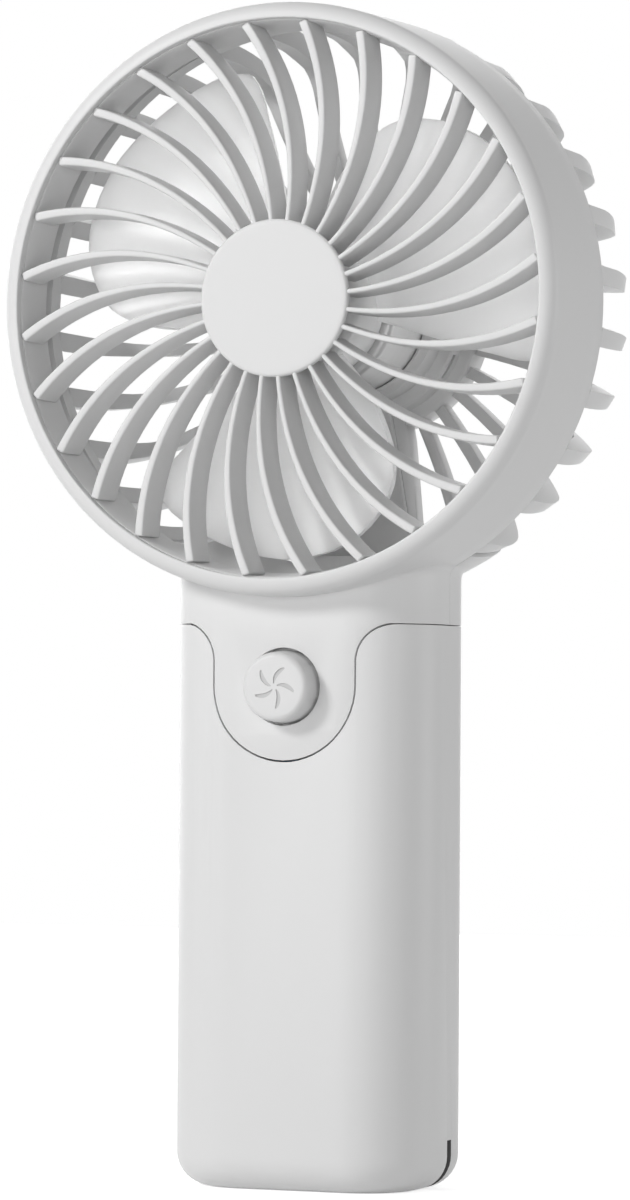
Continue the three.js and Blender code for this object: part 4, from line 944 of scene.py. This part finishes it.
# push button with a pinwheel sign pressed into its face
button = {"height": 74.15, "radius": 5.4, "face": -18.7, "draft": 0.3, "round": 0.9, "flatShare": 0.6,
          "flangeRadius": 7, "flangeFront": -12.6, "flangeBack": -11.6, "stemRadius": 1.6, "stemBack": -3,
          "edgeRound": 0.04, "steps": 128}
petal = {"count": 5, "inner": 0.5, "outer": 3.2, "width": 0.95, "start": 166, "sweep": -34, "depth": 0.16,
         "ahead": 0.5, "steps": 12, "bellyFrom": 0.08, "bellySpan": 0.86, "bluntness": 0.7, "rootShare": 0.45,
         "signRadius": 4.2, "near": 0.03}


def buttonBody():
    faceRadius = button["radius"] - button["draft"] - button["round"]
    front = button["face"]
    profile = [(0, front), (faceRadius * button["flatShare"], front)]
    profile += arcPoints(faceRadius, front + button["round"], button["round"], -90, 0, 10)
    profile += [(button["radius"], button["flangeFront"]), (button["flangeRadius"], button["flangeFront"]),
                (button["flangeRadius"], button["flangeBack"]), (button["stemRadius"], button["flangeBack"]),
                (button["stemRadius"], button["stemBack"]), (0, button["stemBack"])]
    return turnProfile("buttonCap", profile, button["steps"], button["height"] * mm, onAxis=True)


def petalPoints(turn):
    left, right = [], []
    for step in range(petal["steps"] + 1):
        share = step / petal["steps"]
        radius = petal["inner"] + (petal["outer"] - petal["inner"]) * share
        angle = math.radians(turn + petal["sweep"] * share)
        belly = math.sin(math.pi * (petal["bellyFrom"] + petal["bellySpan"] * share)) ** petal["bluntness"]
        half = petal["width"] / 2 * belly * (petal["rootShare"] + (1 - petal["rootShare"]) * share)
        centre = Vector((math.cos(angle), math.sin(angle))) * radius
        aside = Vector((-math.sin(angle), math.cos(angle))) * half
        left.append(centre + aside)
        right.append(centre - aside)
    y = button["face"] - petal["ahead"]
    return [(point.x * mm, y * mm, point.y * mm + button["height"] * mm) for point in right + left[::-1]]


def onSign(face):
    middle = face.center / mm
    sunk = abs(middle.y - button["face"] - petal["depth"]) < petal["near"]
    within = math.hypot(middle.x, middle.z - button["height"]) < petal["signRadius"]
    return sunk and within and face.normal.y < -0.9


buttonPiece = buttonBody()
petalCut = (0, (petal["ahead"] + petal["depth"]) * mm, 0)
for turn in evenTurns(petal["count"]):
    carve(buttonPiece, pushOutline("petal", petalPoints(petal["start"] + turn), petalCut))
tidyMesh(buttonPiece)
roundEdges(buttonPiece, button["edgeRound"], 2, 40)
settle(buttonPiece, "button_cap", "button", "button")
# painted shade: the sunk floor of the sign gets the darker grey
markFaces(buttonPiece, "sign", onSign)
print("button done")

# what stays as it is gets its finish
plainNodes = {
    "inner": ["chassis"],
    "black": ["tact_switch", "switch_actuator", "usb_tongue", "board_chip_left", "board_chip_right",
              "motor_wire_black"],
    "board": ["main_board"],
    "ferrite": ["motor_magnet_left", "motor_magnet_right"],
    "wireRed": ["motor_wire_red"],
    "cell": ["battery_cell"],
    "button": ["motor_end_bell"],
    "plated": ["motor_shaft", "usb_port", "cord_pin", "battery_tab_top", "battery_tab_bottom"],
    "screw": ["motor_screw_left", "motor_screw_right", "shell_screw_left", "shell_screw_right",
              "board_screw_left", "board_screw_right"],
    "lamination": ["armature_core"],
    "brass": ["front_bush", "rear_bush", "motor_brush_left", "motor_brush_right"],
    "copper": ["armature_coil_1", "armature_coil_2", "armature_coil_3", "commutator"],
}
for finish, names in plainNodes.items():
    for name in names:
        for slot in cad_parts[name].material_slots:
            slot.material = finishes[finish]
print("carried-over nodes finished")

# studio: pale floor, white surround, soft lamps
studio = {"floorSize": 1.6, "floorColour": 0.9, "floorLift": 0.7, "worldLevel": 0.2, "worldColour": 1.0}


def cameraOrMirror(nodes, link):
    # 1 where the eye, a mirror or a lens looks straight at the surface
    path = nodes.new("ShaderNodeLightPath")
    first = nodes.new("ShaderNodeMath")
    second = nodes.new("ShaderNodeMath")
    for step in (first, second):
        step.operation = "MAXIMUM"
    link(path.outputs["Is Camera Ray"], first.inputs[0])
    link(path.outputs["Is Glossy Ray"], first.inputs[1])
    link(first.outputs["Value"], second.inputs[0])
    link(path.outputs["Is Transmission Ray"], second.inputs[1])
    return second.outputs["Value"]


def freshNodes(owner):
    owner.use_nodes = True
    owner.node_tree.nodes.clear()
    return owner.node_tree.nodes, owner.node_tree.links.new


def addFloor():
    deselectAll()
    bpy.ops.mesh.primitive_plane_add(size=studio["floorSize"])
    floor = bpy.context.object
    floor.name = "studioFloor"
    material = bpy.data.materials.new("paleFloor")
    nodes, link = freshNodes(material)
    matt = nodes.new("ShaderNodeBsdfDiffuse")
    matt.inputs["Color"].default_value = grey(studio["floorColour"])
    glow = nodes.new("ShaderNodeEmission")
    both = nodes.new("ShaderNodeAddShader")
    leave = nodes.new("ShaderNodeOutputMaterial")
    level = nodes.new("ShaderNodeMath")
    level.operation = "MULTIPLY"
    level.inputs[1].default_value = studio["floorLift"]
    link(cameraOrMirror(nodes, link), level.inputs[0])
    link(level.outputs["Value"], glow.inputs["Strength"])
    link(matt.outputs["BSDF"], both.inputs[0])
    link(glow.outputs["Emission"], both.inputs[1])
    link(both.outputs["Shader"], leave.inputs["Surface"])
    floor.data.materials.append(material)


def setWorld():
    world = bpy.data.worlds.new("studioWorld")
    bpy.context.scene.world = world
    nodes, link = freshNodes(world)
    seen = nodes.new("ShaderNodeBackground")
    seen.inputs["Color"].default_value = (1, 1, 1, 1)
    seen.inputs["Strength"].default_value = 1
    lighting = nodes.new("ShaderNodeBackground")
    lighting.inputs["Color"].default_value = grey(studio["worldColour"])
    lighting.inputs["Strength"].default_value = studio["worldLevel"]
    pick = nodes.new("ShaderNodeMixShader")
    leave = nodes.new("ShaderNodeOutputWorld")
    link(cameraOrMirror(nodes, link), pick.inputs["Fac"])
    link(lighting.outputs["Background"], pick.inputs[1])
    link(seen.outputs["Background"], pick.inputs[2])
    link(pick.outputs["Shader"], leave.inputs["Surface"])


def addLamp(name, place, target, size, power):
    lamp = bpy.data.lights.new(name, "AREA")
    lamp.shape = "RECTANGLE"
    lamp.size, lamp.size_y = size
    lamp.energy = power
    holder = bpy.data.objects.new(name, lamp)
    bpy.context.collection.objects.link(holder)
    holder.location = place
    direction = Vector(place) - Vector(target)
    holder.rotation_euler = direction.to_track_quat("Z", "Y").to_euler()


# each lamp has its place, its aim, its width and height, and its power
lamps = {
    "keyLamp": ((-0.85, -1.15, 0.84), (0, 0, 0.1), (0.36, 0.36), 11.7),
    "frontLamp": ((-0.5, -1.45, 0.08), (0, 0, 0.08), (0.5, 0.5), 3.8),
    "fillLamp": ((0.45, -1.42, 0.2), (0, 0, 0.1), (0.5, 0.5), 3.5),
    "sideLamp": ((1.4, 0.7, 0.3), (0, 0, 0.1), (0.6, 0.6), 5.0),
    "backLamp": ((-0.8, 1.28, 0.25), (0, 0, 0.12), (1.6, 1.6), 15.0),
}
addFloor()
setWorld()
for name, (place, target, size, power) in lamps.items():
    addLamp(name, place, target, size, power)
print("studio done")

# camera, as the photograph was taken
view = {"target": (0, 0, 87.3), "distance": 720, "azimuth": 21.35, "elevation": -1.43, "roll": 0.36,
        "focalPixels": 4808, "shiftPixels": 6, "height": 1200}


def addCamera():
    azimuth = math.radians(view["azimuth"])
    elevation = math.radians(view["elevation"])
    roll = math.radians(view["roll"])
    flat = math.cos(elevation)
    back = Vector((math.sin(azimuth) * flat, -math.cos(azimuth) * flat, math.sin(elevation)))
    level = Vector((math.cos(azimuth), math.sin(azimuth), 0))
    upright = back.cross(level)
    right = level * math.cos(roll) + upright * math.sin(roll)
    up = upright * math.cos(roll) - level * math.sin(roll)
    data = bpy.data.cameras.new("photoCamera")
    data.sensor_fit = "VERTICAL"
    data.sensor_height = 36
    data.lens = view["focalPixels"] * data.sensor_height / view["height"]
    data.shift_x = -view["shiftPixels"] / view["height"]
    data.clip_start = 0.01
    camera = bpy.data.objects.new("photoCamera", data)
    bpy.context.collection.objects.link(camera)
    place = Vector(view["target"]) * mm + back * view["distance"] * mm
    turn = Matrix((right, up, back)).transposed().to_4x4()
    camera.matrix_world = Matrix.Translation(place) @ turn
    bpy.context.scene.camera = camera


addCamera()
bpy.context.scene.view_settings.view_transform = "Standard"
deselectAll()
print("camera done")
